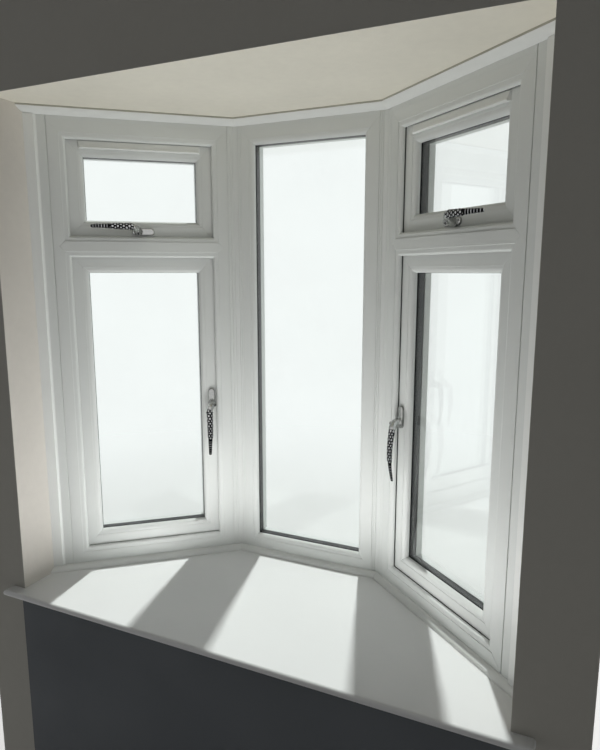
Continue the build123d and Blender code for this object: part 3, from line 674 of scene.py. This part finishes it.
def spans(low, high, module, joint, offset):
    """Bricks of one course along a line, each with half a joint off its hidden ends."""
    shortest = module * SHORTEST_SHARE
    cuts = [low]
    place = low + offset
    while place < high - shortest:
        if place > low + shortest:
            cuts.append(place)
        place += module
    cuts.append(high)
    pieces = []
    for start, end in zip(cuts, cuts[1:]):
        left = start + (joint / 2 if start > low else 0.0)
        right = end - (joint / 2 if end < high else 0.0)
        pieces.append((left, right))
    return pieces


def courses(height, settings):
    """Number, bottom and top of the bricks in each course, counted from the ground."""
    count = math.ceil(height / settings.gauge - COURSE_SLACK)
    levels = []
    for index in range(count):
        low = index * settings.gauge + settings.joint / 2
        high = (index + 1) * settings.gauge - settings.joint / 2
        levels.append((index, low, min(high, height) if index < count - 1 else height))
    return levels


def facet_matrix(side):
    """Carries a light's own frame, with X along it from the bay's corner and Y outwards, to the part."""
    if side == "centre":
        return Matrix.Translation((-CORNER_X, FRAME_LINE_Y, 0))
    place = Matrix.Translation((CORNER_X, FRAME_LINE_Y, 0)) @ Matrix.Rotation(-SPLAY, 4, "Z")
    return place if side == "right" else Matrix.Diagonal((-1, 1, 1, 1)) @ place


def trim_dwarf_wall(bm, side):
    """Mitres one splayed length of wall at the bay's corners, and ends it at the pier and the inner wall."""
    for sign in (-1, 1):
        corner = Vector((sign * CORNER_X, FRAME_LINE_Y, 0))
        mitre = Vector((sign * math.cos(SPLAY / 2), -math.sin(SPLAY / 2), 0))
        if side == "centre":
            trim(bm, corner, mitre)
        elif (sign > 0) == (side == "right"):
            trim(bm, corner, -mitre)
            trim(bm, Vector((sign * PIER_INNER_X, 0, 0)), Vector((sign, 0, 0)))
            trim(bm, Vector((0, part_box("apron_wall")[1].y, 0)), Vector((0, -1, 0)))


def lay_dwarf_wall(side, settings, rng):
    """Stretcher bond on one splayed length of wall, over a core of mortar and block."""
    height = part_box(side + "_dwarf_wall")[1].z
    bm, tone_layer = new_brickwork()
    module = settings.length + settings.joint
    start, end = (-module, 2 * CORNER_X + module) if side == "centre" else (-module, 4 * module)
    face = DWARF_FACE_OFFSET
    back = face - settings.width
    for index, bottom, top in courses(height, settings):
        offset = (index % 2) * module / 2 + (CORNER_X - module / 2 if side == "centre" else 0.0) % module
        for left, right in spans(start, end, module, settings.joint, offset):
            add_brick(bm, tone_layer, (left, back, bottom), (right, face, top), settings, rng)
    add_block(bm, (start, face - DWARF_WALL_THICKNESS, 0), (end, face - settings.recess, height))
    bm.transform(facet_matrix(side))
    trim_dwarf_wall(bm, side)
    return finish_mesh(bm, side + "_dwarf_bricks")


def lay_pier(side, settings, rng):
    """Bonded end of the house wall: each course shows a stretcher or two headers in turn."""
    low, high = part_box(side + "_pier")
    bm, tone_layer = new_brickwork()
    joint = settings.joint
    for index, bottom, top in courses(high.z, settings):
        if index % 2:
            columns = spans(low.x, high.x, settings.width + joint, joint, (high.x - low.x) / 2)
            rows = spans(low.y, high.y, settings.length + joint, joint, settings.length - settings.width)
        else:
            columns = [(low.x, high.x)]
            rows = spans(low.y, high.y, settings.width + joint, joint, 0.0)
        for left, right in columns:
            for near, deep in rows:
                add_brick(bm, tone_layer, (left, near, bottom), (right, deep, top), settings, rng)
    recess = settings.recess
    add_block(bm, (low.x + recess, low.y, 0), (high.x - recess, high.y - recess, high.z))
    return finish_mesh(bm, side + "_pier_bricks")


def lay_bulkhead(settings, rng):
    """Wall over the bay: brick outside, plaster on the room side."""
    low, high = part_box("bulkhead")
    bm, tone_layer = new_brickwork()
    module = settings.length + settings.joint
    plaster_back = low.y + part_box("right_pier")[0].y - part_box("right_wall_plaster")[0].y
    back = high.y - settings.width
    for index, bottom, top in courses(high.z, settings):
        bottom = max(bottom, low.z)
        if top - bottom < settings.gauge * SLIVER_SHARE:
            continue
        for left, right in spans(low.x, high.x, module, settings.joint, (index % 2) * module / 2):
            add_brick(bm, tone_layer, (left, back, bottom), (right, high.y, top), settings, rng)
    recess = settings.recess
    core = (high.x - recess, high.y - recess, high.z - recess)
    add_block(bm, (low.x + recess, plaster_back, low.z), core)
    add_block(bm, low, (high.x, plaster_back, high.z), PLASTER_INDEX)
    return finish_mesh(bm, "bulkhead_bricks")


# Handle sizes: the plate, the reach and the tail's line and length follow the handles' solids
PIVOT_TO_END = 0.017
PLATE_LENGTH = 0.064
PLATE_WIDTH = 0.020
PLATE_THICKNESS = 0.008
PLATE_CROWN = ((0.0, 0.0), (0.0, 0.0055), (0.0007, 0.0070), (0.0020, 0.0078),
               (0.0045, PLATE_THICKNESS), (0.0085, PLATE_THICKNESS))
BOSS_RADIUS = 0.0125
BOSS_HEIGHT = 0.005
BOSS_FOOT = 0.4 * PLATE_THICKNESS
BOSS_TOP = PLATE_THICKNESS + BOSS_HEIGHT
BOSS_TURNING = ((BOSS_RADIUS, BOSS_FOOT), (BOSS_RADIUS, BOSS_TOP - 0.0016),
                (BOSS_RADIUS - 0.0004, BOSS_TOP - 0.0011), (BOSS_RADIUS - 0.0014, BOSS_TOP - 0.0008),
                (BOSS_RADIUS - 0.0014, BOSS_TOP))
NECK_DROP = 0.022
NECK_LENGTH = 0.045
NECK_WIDTH = 0.021
NECK_DEPTH = 0.026
NECK_END_SHARE = 0.85
NECK_FULLNESS = 1.5
NECK_SMOOTH_SHARE = 0.80
LEVER_REACH = 0.041
LEVER_LENGTHS = {"casement": 0.165, "fanlight": 0.135}
LEVER_WIDTH = 0.021
LEVER_TAPER = 0.003
LEVER_THICKNESS = 0.016
LEVER_THINNING = 0.004
LEVER_BOW = 0.008
TAIL_OFFSET = 0.013
COLLAR_FLARE = 0.12
COLLAR_LENGTH = 0.010
SHOULDER_LENGTH = 0.007
TIP_RETURN = 0.005
TIP_LENGTH = 0.055
TIP_WIDTH = 0.0150
TIP_END_WIDTH = 0.0100
TIP_THICKNESS = 0.010
TIP_END_THICKNESS = 0.006
TIP_BAR_PITCH = 0.0078
TIP_BAR_EDGE = 0.70
END_ROUND = 0.003
END_FLAT_SHARE = 0.2
SECTION_POWER = 0.85

# Hammer marks: how far they stray, how close their rows stand and where a hollow ends
STRAY_ROUND = 0.14
STRAY_ALONG = 0.12
ROW_SHARE = 0.82
HOLLOW_EDGE = 0.28
PAD_EDGE = 0.46

# Lock on the neck's side: its place and direction, and the turned outlines of ring and button
LOCK_SPOT = (-0.001, -0.032, 0.004)
LOCK_DIRECTION = (0.0, -0.87, 0.49)
LOCK_RING = ((0.0054, -0.0060), (0.0054, 0.0034), (0.0049, 0.0040), (0.0038, 0.0040))
LOCK_BUTTON = ((0.0037, 0.0030), (0.0037, 0.0042), (0.0030, 0.0050), (0.0012, 0.0053))

# Points and steps of the handles' meshes
RING_POINTS = 48
BOSS_POINTS = 40
LOCK_POINTS = 20
SLOT_STEPS = 14
NECK_STEPS = 24
TAIL_STEP = 0.001


def islands(node):
    """The separate closed pieces of a CAD node, each as its list of points."""
    bm = bmesh.new()
    bm.from_mesh(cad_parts[node].data)
    bmesh.ops.remove_doubles(bm, verts=bm.verts, dist=WELD_GAP)
    left = set(bm.verts)
    found = []
    while left:
        queue = [left.pop()]
        island = []
        while queue:
            vertex = queue.pop()
            island.append(vertex.co.copy())
            for edge in vertex.link_edges:
                other = edge.other_vert(vertex)
                if other in left:
                    left.remove(other)
                    queue.append(other)
        found.append(island)
    bm.free()
    return found


def handle_matrices():
    """Places of the four handles: X points along the plate from the pivot, -Y into the room."""
    places = {}
    for island in islands("handle_bases"):
        middle_x = sum(p.x for p in island) / len(island)
        side = "right" if middle_x > 0 else "left"
        facet = facet_matrix(side)
        local = [facet.inverted() @ p for p in island]
        low = Vector((min(p[k] for p in local) for k in range(3)))
        high = Vector((max(p[k] for p in local) for k in range(3)))
        upright = high.z - low.z > high.x - low.x
        if upright:
            pivot = Vector(((low.x + high.x) / 2, high.y, low.z + PIVOT_TO_END))
            turned = Matrix.Rotation(-math.pi / 2, 4, "Y")
        else:
            pivot = Vector((high.x - PIVOT_TO_END, high.y, (low.z + high.z) / 2))
            turned = Matrix.Rotation(math.pi, 4, "Y")
        name = side + ("_casement" if upright else "_fanlight")
        places[name] = facet @ Matrix.Translation(pivot) @ turned
    return places


def smoothstep(low, high, value):
    """Eases from 0 at low to 1 at high."""
    share = min(max((value - low) / (high - low), 0.0), 1.0)
    return share * share * (3 - 2 * share)


def blend(first, second, share):
    """A value part of the way from the first to the second."""
    return first + (second - first) * share


def skin(name, rings, attribute=None, values=None, indices=None):
    """A closed mesh over rings of points, with an optional value at each point and material along it."""
    bm = bmesh.new()
    layer = bm.verts.layers.float.new(attribute) if attribute else None
    rows = []
    for number, ring in enumerate(rings):
        row = [bm.verts.new(point) for point in ring]
        if layer:
            for vertex, value in zip(row, values[number]):
                vertex[layer] = value
        rows.append(row)
    for number, (row, following) in enumerate(zip(rows, rows[1:])):
        for i in range(len(row)):
            j = (i + 1) % len(row)
            face = bm.faces.new((row[i], row[j], following[j], following[i]))
            face.smooth = True
            face.material_index = indices[number] if indices else 0
    for row, index in ((rows[0], 0), (rows[-1], -1)):
        bm.faces.new(row).material_index = indices[index] if indices else 0
    return finish_mesh(bm, name)


def slot_outline(length, width, inset):
    """Points round a slot with its middle at the plate's middle."""
    radius = width / 2 - inset
    reach = length / 2 - width / 2
    points = []
    for end, start in ((1, -math.pi / 2), (-1, math.pi / 2)):
        for i in range(SLOT_STEPS + 1):
            angle = start + math.pi * i / SLOT_STEPS
            points.append((end * reach + radius * math.cos(angle), radius * math.sin(angle)))
    return points


def plate_rings():
    """Handle plate with a crowned top."""
    middle = PLATE_LENGTH / 2 - PIVOT_TO_END
    return [[(middle + x, -height, z) for x, z in slot_outline(PLATE_LENGTH, PLATE_WIDTH, inset)]
            for inset, height in PLATE_CROWN]


def turned_rings(profile, count):
    """Rings of a turned piece, from pairs of radius and height over the sash."""
    angles = [2 * math.pi * i / count for i in range(count)]
    return [[(radius * math.cos(a), -height, radius * math.sin(a)) for a in angles]
            for radius, height in profile]


def lever_line(distance, length):
    """Middle of the tail at a distance from the pivot, bowed off the sash."""
    share = (distance - NECK_DROP) / (length - NECK_DROP)
    bow = LEVER_BOW * math.sin(math.pi * share) - TIP_RETURN * share
    return Vector((-distance, -LEVER_REACH - bow, -TAIL_OFFSET))


def neck_point(share):
    """Middle of the neck on its bend from the boss to the tail."""
    start = Vector((0, -BOSS_TOP, 0))
    end = Vector((-NECK_DROP, -LEVER_REACH, -TAIL_OFFSET))
    chord = (end - start).length
    first = start + Vector((0, -chord / 3, 0))
    second = end + Vector((chord / 3, 0, 0))
    rest = 1 - share
    near = start * rest ** 3 + first * 3 * share * rest ** 2
    return near + second * 3 * share ** 2 * rest + end * share ** 3


def tail_size(distance, length):
    """Half width and half thickness of the tail at a distance from the pivot."""
    step = length - TIP_LENGTH
    broad_end = step - SHOULDER_LENGTH
    end_width = LEVER_WIDTH - LEVER_TAPER
    end_thickness = LEVER_THICKNESS - LEVER_THINNING
    if distance < broad_end:
        collar = 1 + COLLAR_FLARE * (1 - smoothstep(0, COLLAR_LENGTH, distance - NECK_DROP))
        share = (distance - NECK_DROP) / (broad_end - NECK_DROP)
        wide = blend(LEVER_WIDTH, end_width, share) * collar
        thick = blend(LEVER_THICKNESS, end_thickness, share)
    elif distance < step:
        share = smoothstep(broad_end, step, distance)
        wide = blend(end_width, TIP_WIDTH, share)
        thick = blend(end_thickness, TIP_THICKNESS, share)
    else:
        share = (distance - step) / TIP_LENGTH
        wide = blend(TIP_WIDTH, TIP_END_WIDTH, share)
        thick = blend(TIP_THICKNESS, TIP_END_THICKNESS, share)
    return wide / 2, thick / 2


def lever_stations(length):
    """Middle, half width, half depth and distance from the pivot along the lever, None on the smooth neck."""
    stations = []
    for i in range(NECK_STEPS):
        share = i / NECK_STEPS
        wide = blend(NECK_WIDTH / 2, LEVER_WIDTH / 2 * NECK_END_SHARE, share)
        deep = blend(NECK_DEPTH / 2, LEVER_THICKNESS / 2, share ** NECK_FULLNESS)
        distance = NECK_DROP - (1 - share) * NECK_LENGTH if share > NECK_SMOOTH_SHARE else None
        stations.append((neck_point(share), wide, deep, distance))
    count = round((length - NECK_DROP) / TAIL_STEP)
    for i in range(count + 1):
        distance = NECK_DROP + (length - NECK_DROP) * i / count
        wide, deep = tail_size(distance, length)
        stations.append((lever_line(distance, length), wide, deep, distance))
    return stations


def hammer_marks(length, settings, rng):
    """Centres of the hammer marks on the unrolled tail, as distance along it and share round it."""
    marks = []
    along = NECK_DROP - 2 * settings.cell
    row = 0
    while along < length:
        for k in range(settings.marks_round):
            around = k + (row % 2) / 2 + rng.uniform(-STRAY_ROUND, STRAY_ROUND)
            stray = rng.uniform(-STRAY_ALONG, STRAY_ALONG) * settings.cell
            marks.append((along + stray, around / settings.marks_round % 1.0))
        along += settings.cell * ROW_SHARE
        row += 1
    return marks


def mark_height(marks, along, around, girth, settings):
    """1 on a hammer mark's pad and 0 in the hollow between two marks."""
    nearest = [1.0, 1.0]
    for mark_along, mark_around in marks:
        gap = abs(mark_along - along)
        if gap < 2 * settings.cell:
            turn = abs(mark_around - around)
            distance = math.hypot(gap, min(turn, 1 - turn) * girth)
            nearest = sorted(nearest + [distance])[:2]
    return smoothstep(HOLLOW_EDGE, PAD_EDGE, (nearest[1] - nearest[0]) / settings.cell)


def pad_row(marks, distance, length, girth, settings):
    """Heights round one station: 1 on the bright pads and bars, and 0 in the dark hollows."""
    if distance is None:
        return [1.0] * RING_POINTS
    step = length - TIP_LENGTH
    if distance > step:
        wave = math.cos(2 * math.pi * (distance - step) / TIP_BAR_PITCH)
        return [smoothstep(TIP_BAR_EDGE, 1.0, wave)] * RING_POINTS
    return [mark_height(marks, distance, k / RING_POINTS, girth, settings) for k in range(RING_POINTS)]


def end_rounding(left):
    """Share of the full section where so much length is left before the lever's end."""
    share = 1 - min(left, END_ROUND) / END_ROUND
    return blend(END_FLAT_SHARE, 1.0, math.sqrt(1 - share ** 2))


def lever_ring(middle, along, wide, deep, pads, hollow):
    """Points round the lever's rounded oblong section, sunk into the hollows between the pads."""
    across = Vector((0, 0, 1))
    across = (across - along * across.dot(along)).normalized()
    up = along.cross(across)
    ring = []
    for k, pad in enumerate(pads):
        angle = 2 * math.pi * k / len(pads)
        x = math.copysign(abs(math.cos(angle)) ** SECTION_POWER, math.cos(angle)) * wide
        y = math.copysign(abs(math.sin(angle)) ** SECTION_POWER, math.sin(angle)) * deep
        point = across * x + up * y
        if point.length > 0:
            point -= point.normalized() * (1 - pad) * hollow
        ring.append(middle + point)
    return ring


def lever_mesh(name, length, settings, rng):
    """Neck and tail in one skin: smooth near the boss, hammered along the tail, barred at its tip."""
    marks = hammer_marks(length, settings, rng)
    stations = lever_stations(length)
    rings, values, indices = [], [], []
    for i, (middle, wide, deep, distance) in enumerate(stations):
        before = stations[max(i - 1, 0)][0]
        after = stations[min(i + 1, len(stations) - 1)][0]
        along = (after - before).normalized() if i else Vector((0, -1, 0))
        share = end_rounding(length if distance is None else length - distance)
        pads = pad_row(marks, distance, length, math.pi * (wide + deep), settings)
        rings.append(lever_ring(middle, along, wide * share, deep * share, pads, settings.hollow))
        values.append(pads)
        indices.append(0 if distance is None else 1)
    return skin(name, rings, "pad", values, indices)


def lock_place(place):
    """Where the black push button sits in its bright ring, low on the side of the neck."""
    turned = Vector((0, -1, 0)).rotation_difference(Vector(LOCK_DIRECTION)).to_matrix().to_4x4()
    return place @ Matrix.Translation(LOCK_SPOT) @ turned


def put_in_place(mesh, place):
    """Moves a mesh to its place; on the mirrored side its faces are turned back outwards."""
    mesh.transform(place)
    if place.determinant() < 0:
        mesh.flip_normals()
    return mesh


class BAY_OT_finish_profiles(bpy.types.Operator):
    """Give the PVC profiles their satin white and their soft edges"""
    bl_idname = "bay_window.finish_profiles"
    bl_label = "Finish Profiles"

    def execute(self, context):
        settings = context.scene.bay_finish
        edge = settings.profile_edge
        dress(PROFILE_NODES, pvc_finish("white_pvc_satin", settings.pvc), edge)
        # Painted light: trims and vents take the lighter white.
        dress(TRIM_NODES, pvc_finish("white_trim_satin_lit", settings.trim), edge)
        # The head trim has the trims' lighter white, with its lip greyed as painted shade.
        lip_shaded_trim = pvc_finish("white_head_trim_lit_lip_shade", settings.trim, settings.trim_lip_shade, HEAD_TRIM_LIP)
        dress(("head_trim",), lip_shaded_trim, edge)
        return {"FINISHED"}


class BAY_OT_finish_glazing(bpy.types.Operator):
    """Give the panes, spacer bars and seals their finishes"""
    bl_idname = "bay_window.finish_glazing"
    bl_label = "Finish Glazing"

    def execute(self, context):
        settings = context.scene.bay_finish
        dress(GLASS_NODES, glass_finish(settings))
        dress(("glazing_seals", "sash_seals"), seal_finish(settings))
        dress(("spacer_bars",), spacer_finish(settings))
        return {"FINISHED"}


class BAY_OT_finish_walls(bpy.types.Operator):
    """Paint the plaster, the soffit and the apron, and finish the board"""
    bl_idname = "bay_window.finish_walls"
    bl_label = "Finish Walls and Board"

    def execute(self, context):
        settings = context.scene.bay_finish
        edge = settings.board_edge
        dress(("window_board",), board_finish(settings), edge)
        # The room faces of the reveals and the soffit take the darker grey, partly painted shade.
        reveals = wall_paint_finish("reveal_paint", settings.reveal, settings.shaded_room_wall)
        dress(("left_wall_plaster", "right_wall_plaster"), reveals, edge)
        dress(("ceiling_board",), wall_paint_finish("soffit_paint", settings.ceiling, settings.shaded_room_wall))
        dress(("apron_wall",), wall_paint_finish("apron_paint", settings.apron))
        return {"FINISHED"}


class BAY_OT_finish_roof(bpy.types.Operator):
    """Finish the lead, the painted timber and the sawn timber of the roof"""
    bl_idname = "bay_window.finish_roof"
    bl_label = "Finish Roof"

    def execute(self, context):
        settings = context.scene.bay_finish
        dress(("roof_covering", "roof_flashing"), lead_finish(settings), settings.board_edge)
        dress(("eaves_soffit", "fascia"), timber_paint_finish(settings), settings.board_edge)
        dress(("roof_deck",), raw_timber_finish(settings))
        return {"FINISHED"}


class BAY_OT_lay_bricks(bpy.types.Operator):
    """Lay the brickwork of the piers, the splayed walls and the wall over the bay"""
    bl_idname = "bay_window.lay_bricks"
    bl_label = "Lay Brickwork"

    def execute(self, context):
        settings = context.scene.bay_bricks
        rng = random.Random(settings.seed)
        masonry = (brick_finish(settings), mortar_finish(settings))
        for side in ("left", "centre", "right"):
            mesh = lay_dwarf_wall(side, settings, rng)
            new_piece(side + "_dwarf_brickwork", mesh, masonry, (side + "_dwarf_wall",))
        for side in ("left", "right"):
            mesh = lay_pier(side, settings, rng)
            new_piece(side + "_pier_brickwork", mesh, masonry, (side + "_pier",))
        # The bulkhead's plaster takes the darker room-face grey, partly painted shade.
        plaster = wall_paint_finish("bulkhead_paint", context.scene.bay_finish.shaded_room_wall)
        mesh = lay_bulkhead(settings, rng)
        new_piece("bulkhead_wall", mesh, (*masonry, plaster), ("bulkhead",))
        return {"FINISHED"}


class BAY_OT_make_handles(bpy.types.Operator):
    """Make the four handles with their plates, bosses and hammered tails"""
    bl_idname = "bay_window.make_handles"
    bl_label = "Make Handles"

    def execute(self, context):
        settings = context.scene.bay_handles
        rng = random.Random(settings.seed)
        bright, hammered = bright_metal_finish(settings), hammered_metal_finish(settings)
        button = button_finish(settings)
        bases = (("plate", plate_rings()), ("boss", turned_rings(BOSS_TURNING, BOSS_POINTS)))
        locks = (("ring", LOCK_RING, bright), ("button", LOCK_BUTTON, button))
        for window, place in sorted(handle_matrices().items()):
            handle = window + "_handle_"
            for label, rings in bases:
                mesh = put_in_place(skin(handle + label, rings), place)
                new_piece(handle + label, mesh, (bright,), ("handle_bases",))
            length = LEVER_LENGTHS[window.split("_")[1]]
            mesh = put_in_place(lever_mesh(handle + "lever", length, settings, rng), place)
            new_piece(handle + "lever", mesh, (bright, hammered), ("handle_levers",))
            for label, profile, finish in locks:
                rings = turned_rings(profile, LOCK_POINTS)
                mesh = put_in_place(skin(handle + label, rings), lock_place(place))
                new_piece(handle + label, mesh, (finish,), ("handle_levers",))
        return {"FINISHED"}


# Lamps: the key stands where the light patches on the photo's board put the sun
KEY_SIZE = 0.32
KEY_PLACE = (-1.50, 5.60, 11.04)
KEY_AIM = (0.0, 0.0, 1.0)
SIDE_SIZE = 0.8
SIDE_PLACE = (3.8, 2.0, 1.7)
SIDE_AIM = (-0.7, -0.1, 1.5)
FILL_SIZE = 1.2
FILL_PLACE = (-0.2, -1.6, 0.5)
FILL_AIM = (0.0, 0.1, 2.1)
BOUNCE_WIDTH = 0.8
BOUNCE_DEPTH = 0.3
BOUNCE_PLACE = (0.0, -0.24, 0.92)
BOUNCE_AIM = (0.0, -0.20, 3.0)

# How far a direction leans outwards where the room's light ends and where the sky's is full
ROOM_LEAN = -0.25
SKY_LEAN = 0.35


def seen_directly(graph):
    """1 for rays from the camera, also by way of a mirror or a pane, and 0 for the rest."""
    path = graph.node("ShaderNodeLightPath").outputs
    seen = graph.math("ADD", path["Is Camera Ray"], path["Is Glossy Ray"])
    return graph.math("ADD", seen, path["Is Transmission Ray"], clamp=True)


def floor_finish(settings):
    """Pale floor that keeps shadows near the window and fades into the white backdrop further off."""
    finish = Finish("studio_floor")
    graph = finish.graph
    seen = seen_directly(graph)
    tone = finish.mottle(opaque(settings.floor), amount=0.02, scale=0.8)
    colour = graph.mix(seen, opaque(settings.floor_bounce), tone["Colour"])
    finish.surface(Base_Color=colour, Roughness=0.9)
    distance = graph.node("ShaderNodeVectorMath", {0: graph.place()}, operation="LENGTH").outputs["Value"]
    fade = graph.spread(distance, settings.fade_start, settings.fade_end, interpolation_type="SMOOTHSTEP")
    glow = graph.node("ShaderNodeEmission", {"Strength": graph.math("MULTIPLY", seen, settings.floor_glow)})
    lit = graph.node("ShaderNodeAddShader", {0: finish.shader.outputs[0], 1: glow.outputs[0]})
    white = graph.node("ShaderNodeEmission", {"Strength": 1.0})
    return finish.output(graph.mix_shaders(graph.math("MULTIPLY", seen, fade), lit, white))


def white_backdrop_world(settings):
    """Even light, weaker from the room's side, which the camera, mirrors and glass see as plain white."""
    world = bpy.data.worlds.new("studio")
    world.use_nodes = True
    graph = Graph(world.node_tree)
    outward = graph.axis(graph.node("ShaderNodeTexCoord").outputs["Generated"], 1)
    level = graph.spread(outward, ROOM_LEAN, SKY_LEAN, settings.room, settings.sky)
    colour = graph.mix(seen_directly(graph), graph.grey(level), WHITE)
    graph.feed(world.node_tree.nodes["Background"].inputs["Color"], colour)
    return world


def lay_floor(settings):
    """A square floor under the window, which belongs to the stage."""
    half = settings.floor_size / 2
    corners = [(-half, -half, 0), (half, -half, 0), (half, half, 0), (-half, half, 0)]
    mesh = bpy.data.meshes.new("studio_floor")
    mesh.from_pydata(corners, [], [(0, 1, 2, 3)])
    mesh.materials.append(floor_finish(settings))
    floor = bpy.data.objects.new("studio_floor", mesh)
    bpy.context.scene.collection.objects.link(floor)


def soft_lamp(name, power, width, depth, place, aim):
    """A soft light at a place, aimed at a point."""
    lamp = bpy.data.lights.new(name, "AREA")
    lamp.energy = power
    lamp.shape = "RECTANGLE"
    lamp.size = width
    lamp.size_y = depth
    holder = bpy.data.objects.new(name, lamp)
    holder.visible_camera = False
    holder.visible_glossy = False
    holder.visible_transmission = False
    holder.location = place
    holder.rotation_euler = (Vector(aim) - Vector(place)).to_track_quat("-Z", "Y").to_euler()
    bpy.context.scene.collection.objects.link(holder)


def photo_camera():
    """The camera that took the photograph."""
    camera = bpy.data.cameras.new("photo_camera")
    camera.sensor_width = SENSOR_SIZE
    camera.lens = FOCAL_PX / IMAGE_HEIGHT_PX * SENSOR_SIZE
    holder = bpy.data.objects.new("photo_camera", camera)
    holder.location = CAMERA_PLACE
    holder.rotation_euler = (CAMERA_TILT, 0.0, CAMERA_TURN)
    bpy.context.scene.collection.objects.link(holder)
    return holder


class BAY_OT_set_stage(bpy.types.Operator):
    """Lay the floor, set the soft lights and place the camera as the photograph was taken"""
    bl_idname = "bay_window.set_stage"
    bl_label = "Set Stage"

    def execute(self, context):
        settings = context.scene.bay_stage
        scene = context.scene
        lay_floor(settings)
        scene.world = white_backdrop_world(settings)
        soft_lamp("key_outside", settings.key, KEY_SIZE, KEY_SIZE, KEY_PLACE, KEY_AIM)
        soft_lamp("side_outside", settings.side, SIDE_SIZE, SIDE_SIZE, SIDE_PLACE, SIDE_AIM)
        soft_lamp("fill_room", settings.fill, FILL_SIZE, FILL_SIZE, FILL_PLACE, FILL_AIM)
        soft_lamp("bounce_from_board", settings.bounce, BOUNCE_WIDTH, BOUNCE_DEPTH, BOUNCE_PLACE, BOUNCE_AIM)
        scene.camera = photo_camera()
        scene.view_settings.view_transform = "Standard"
        return {"FINISHED"}


class BAY_PT_panel(bpy.types.Panel):
    """Steps of the bay window in the order they are made"""
    bl_idname = "BAY_PT_panel"
    bl_label = "Bay Window"
    bl_space_type = "VIEW_3D"
    bl_region_type = "UI"
    bl_category = "Bay Window"

    def draw(self, context):
        for operator in OPERATORS:
            self.layout.operator(operator.bl_idname)


OPERATORS = (
    BAY_OT_finish_profiles, BAY_OT_finish_glazing, BAY_OT_finish_walls, BAY_OT_finish_roof,
    BAY_OT_lay_bricks, BAY_OT_make_handles, BAY_OT_set_stage,
)
SETTINGS = {
    "bay_finish": BAY_PG_finish, "bay_bricks": BAY_PG_bricks, "bay_handles": BAY_PG_handles,
    "bay_stage": BAY_PG_stage,
}


def register():
    for kind in (*SETTINGS.values(), *OPERATORS, BAY_PT_panel):
        bpy.utils.register_class(kind)
    for name, kind in SETTINGS.items():
        setattr(bpy.types.Scene, name, PointerProperty(type=kind))


def unregister():
    for name in SETTINGS:
        delattr(bpy.types.Scene, name)
    for kind in reversed((*SETTINGS.values(), *OPERATORS, BAY_PT_panel)):
        bpy.utils.unregister_class(kind)


def main():
    register()
    bpy.ops.bay_window.finish_profiles()
    bpy.ops.bay_window.finish_glazing()
    bpy.ops.bay_window.finish_walls()
    bpy.ops.bay_window.finish_roof()
    bpy.ops.bay_window.lay_bricks()
    bpy.ops.bay_window.make_handles()
    bpy.ops.bay_window.set_stage()


if __name__ == "__main__":
    main()
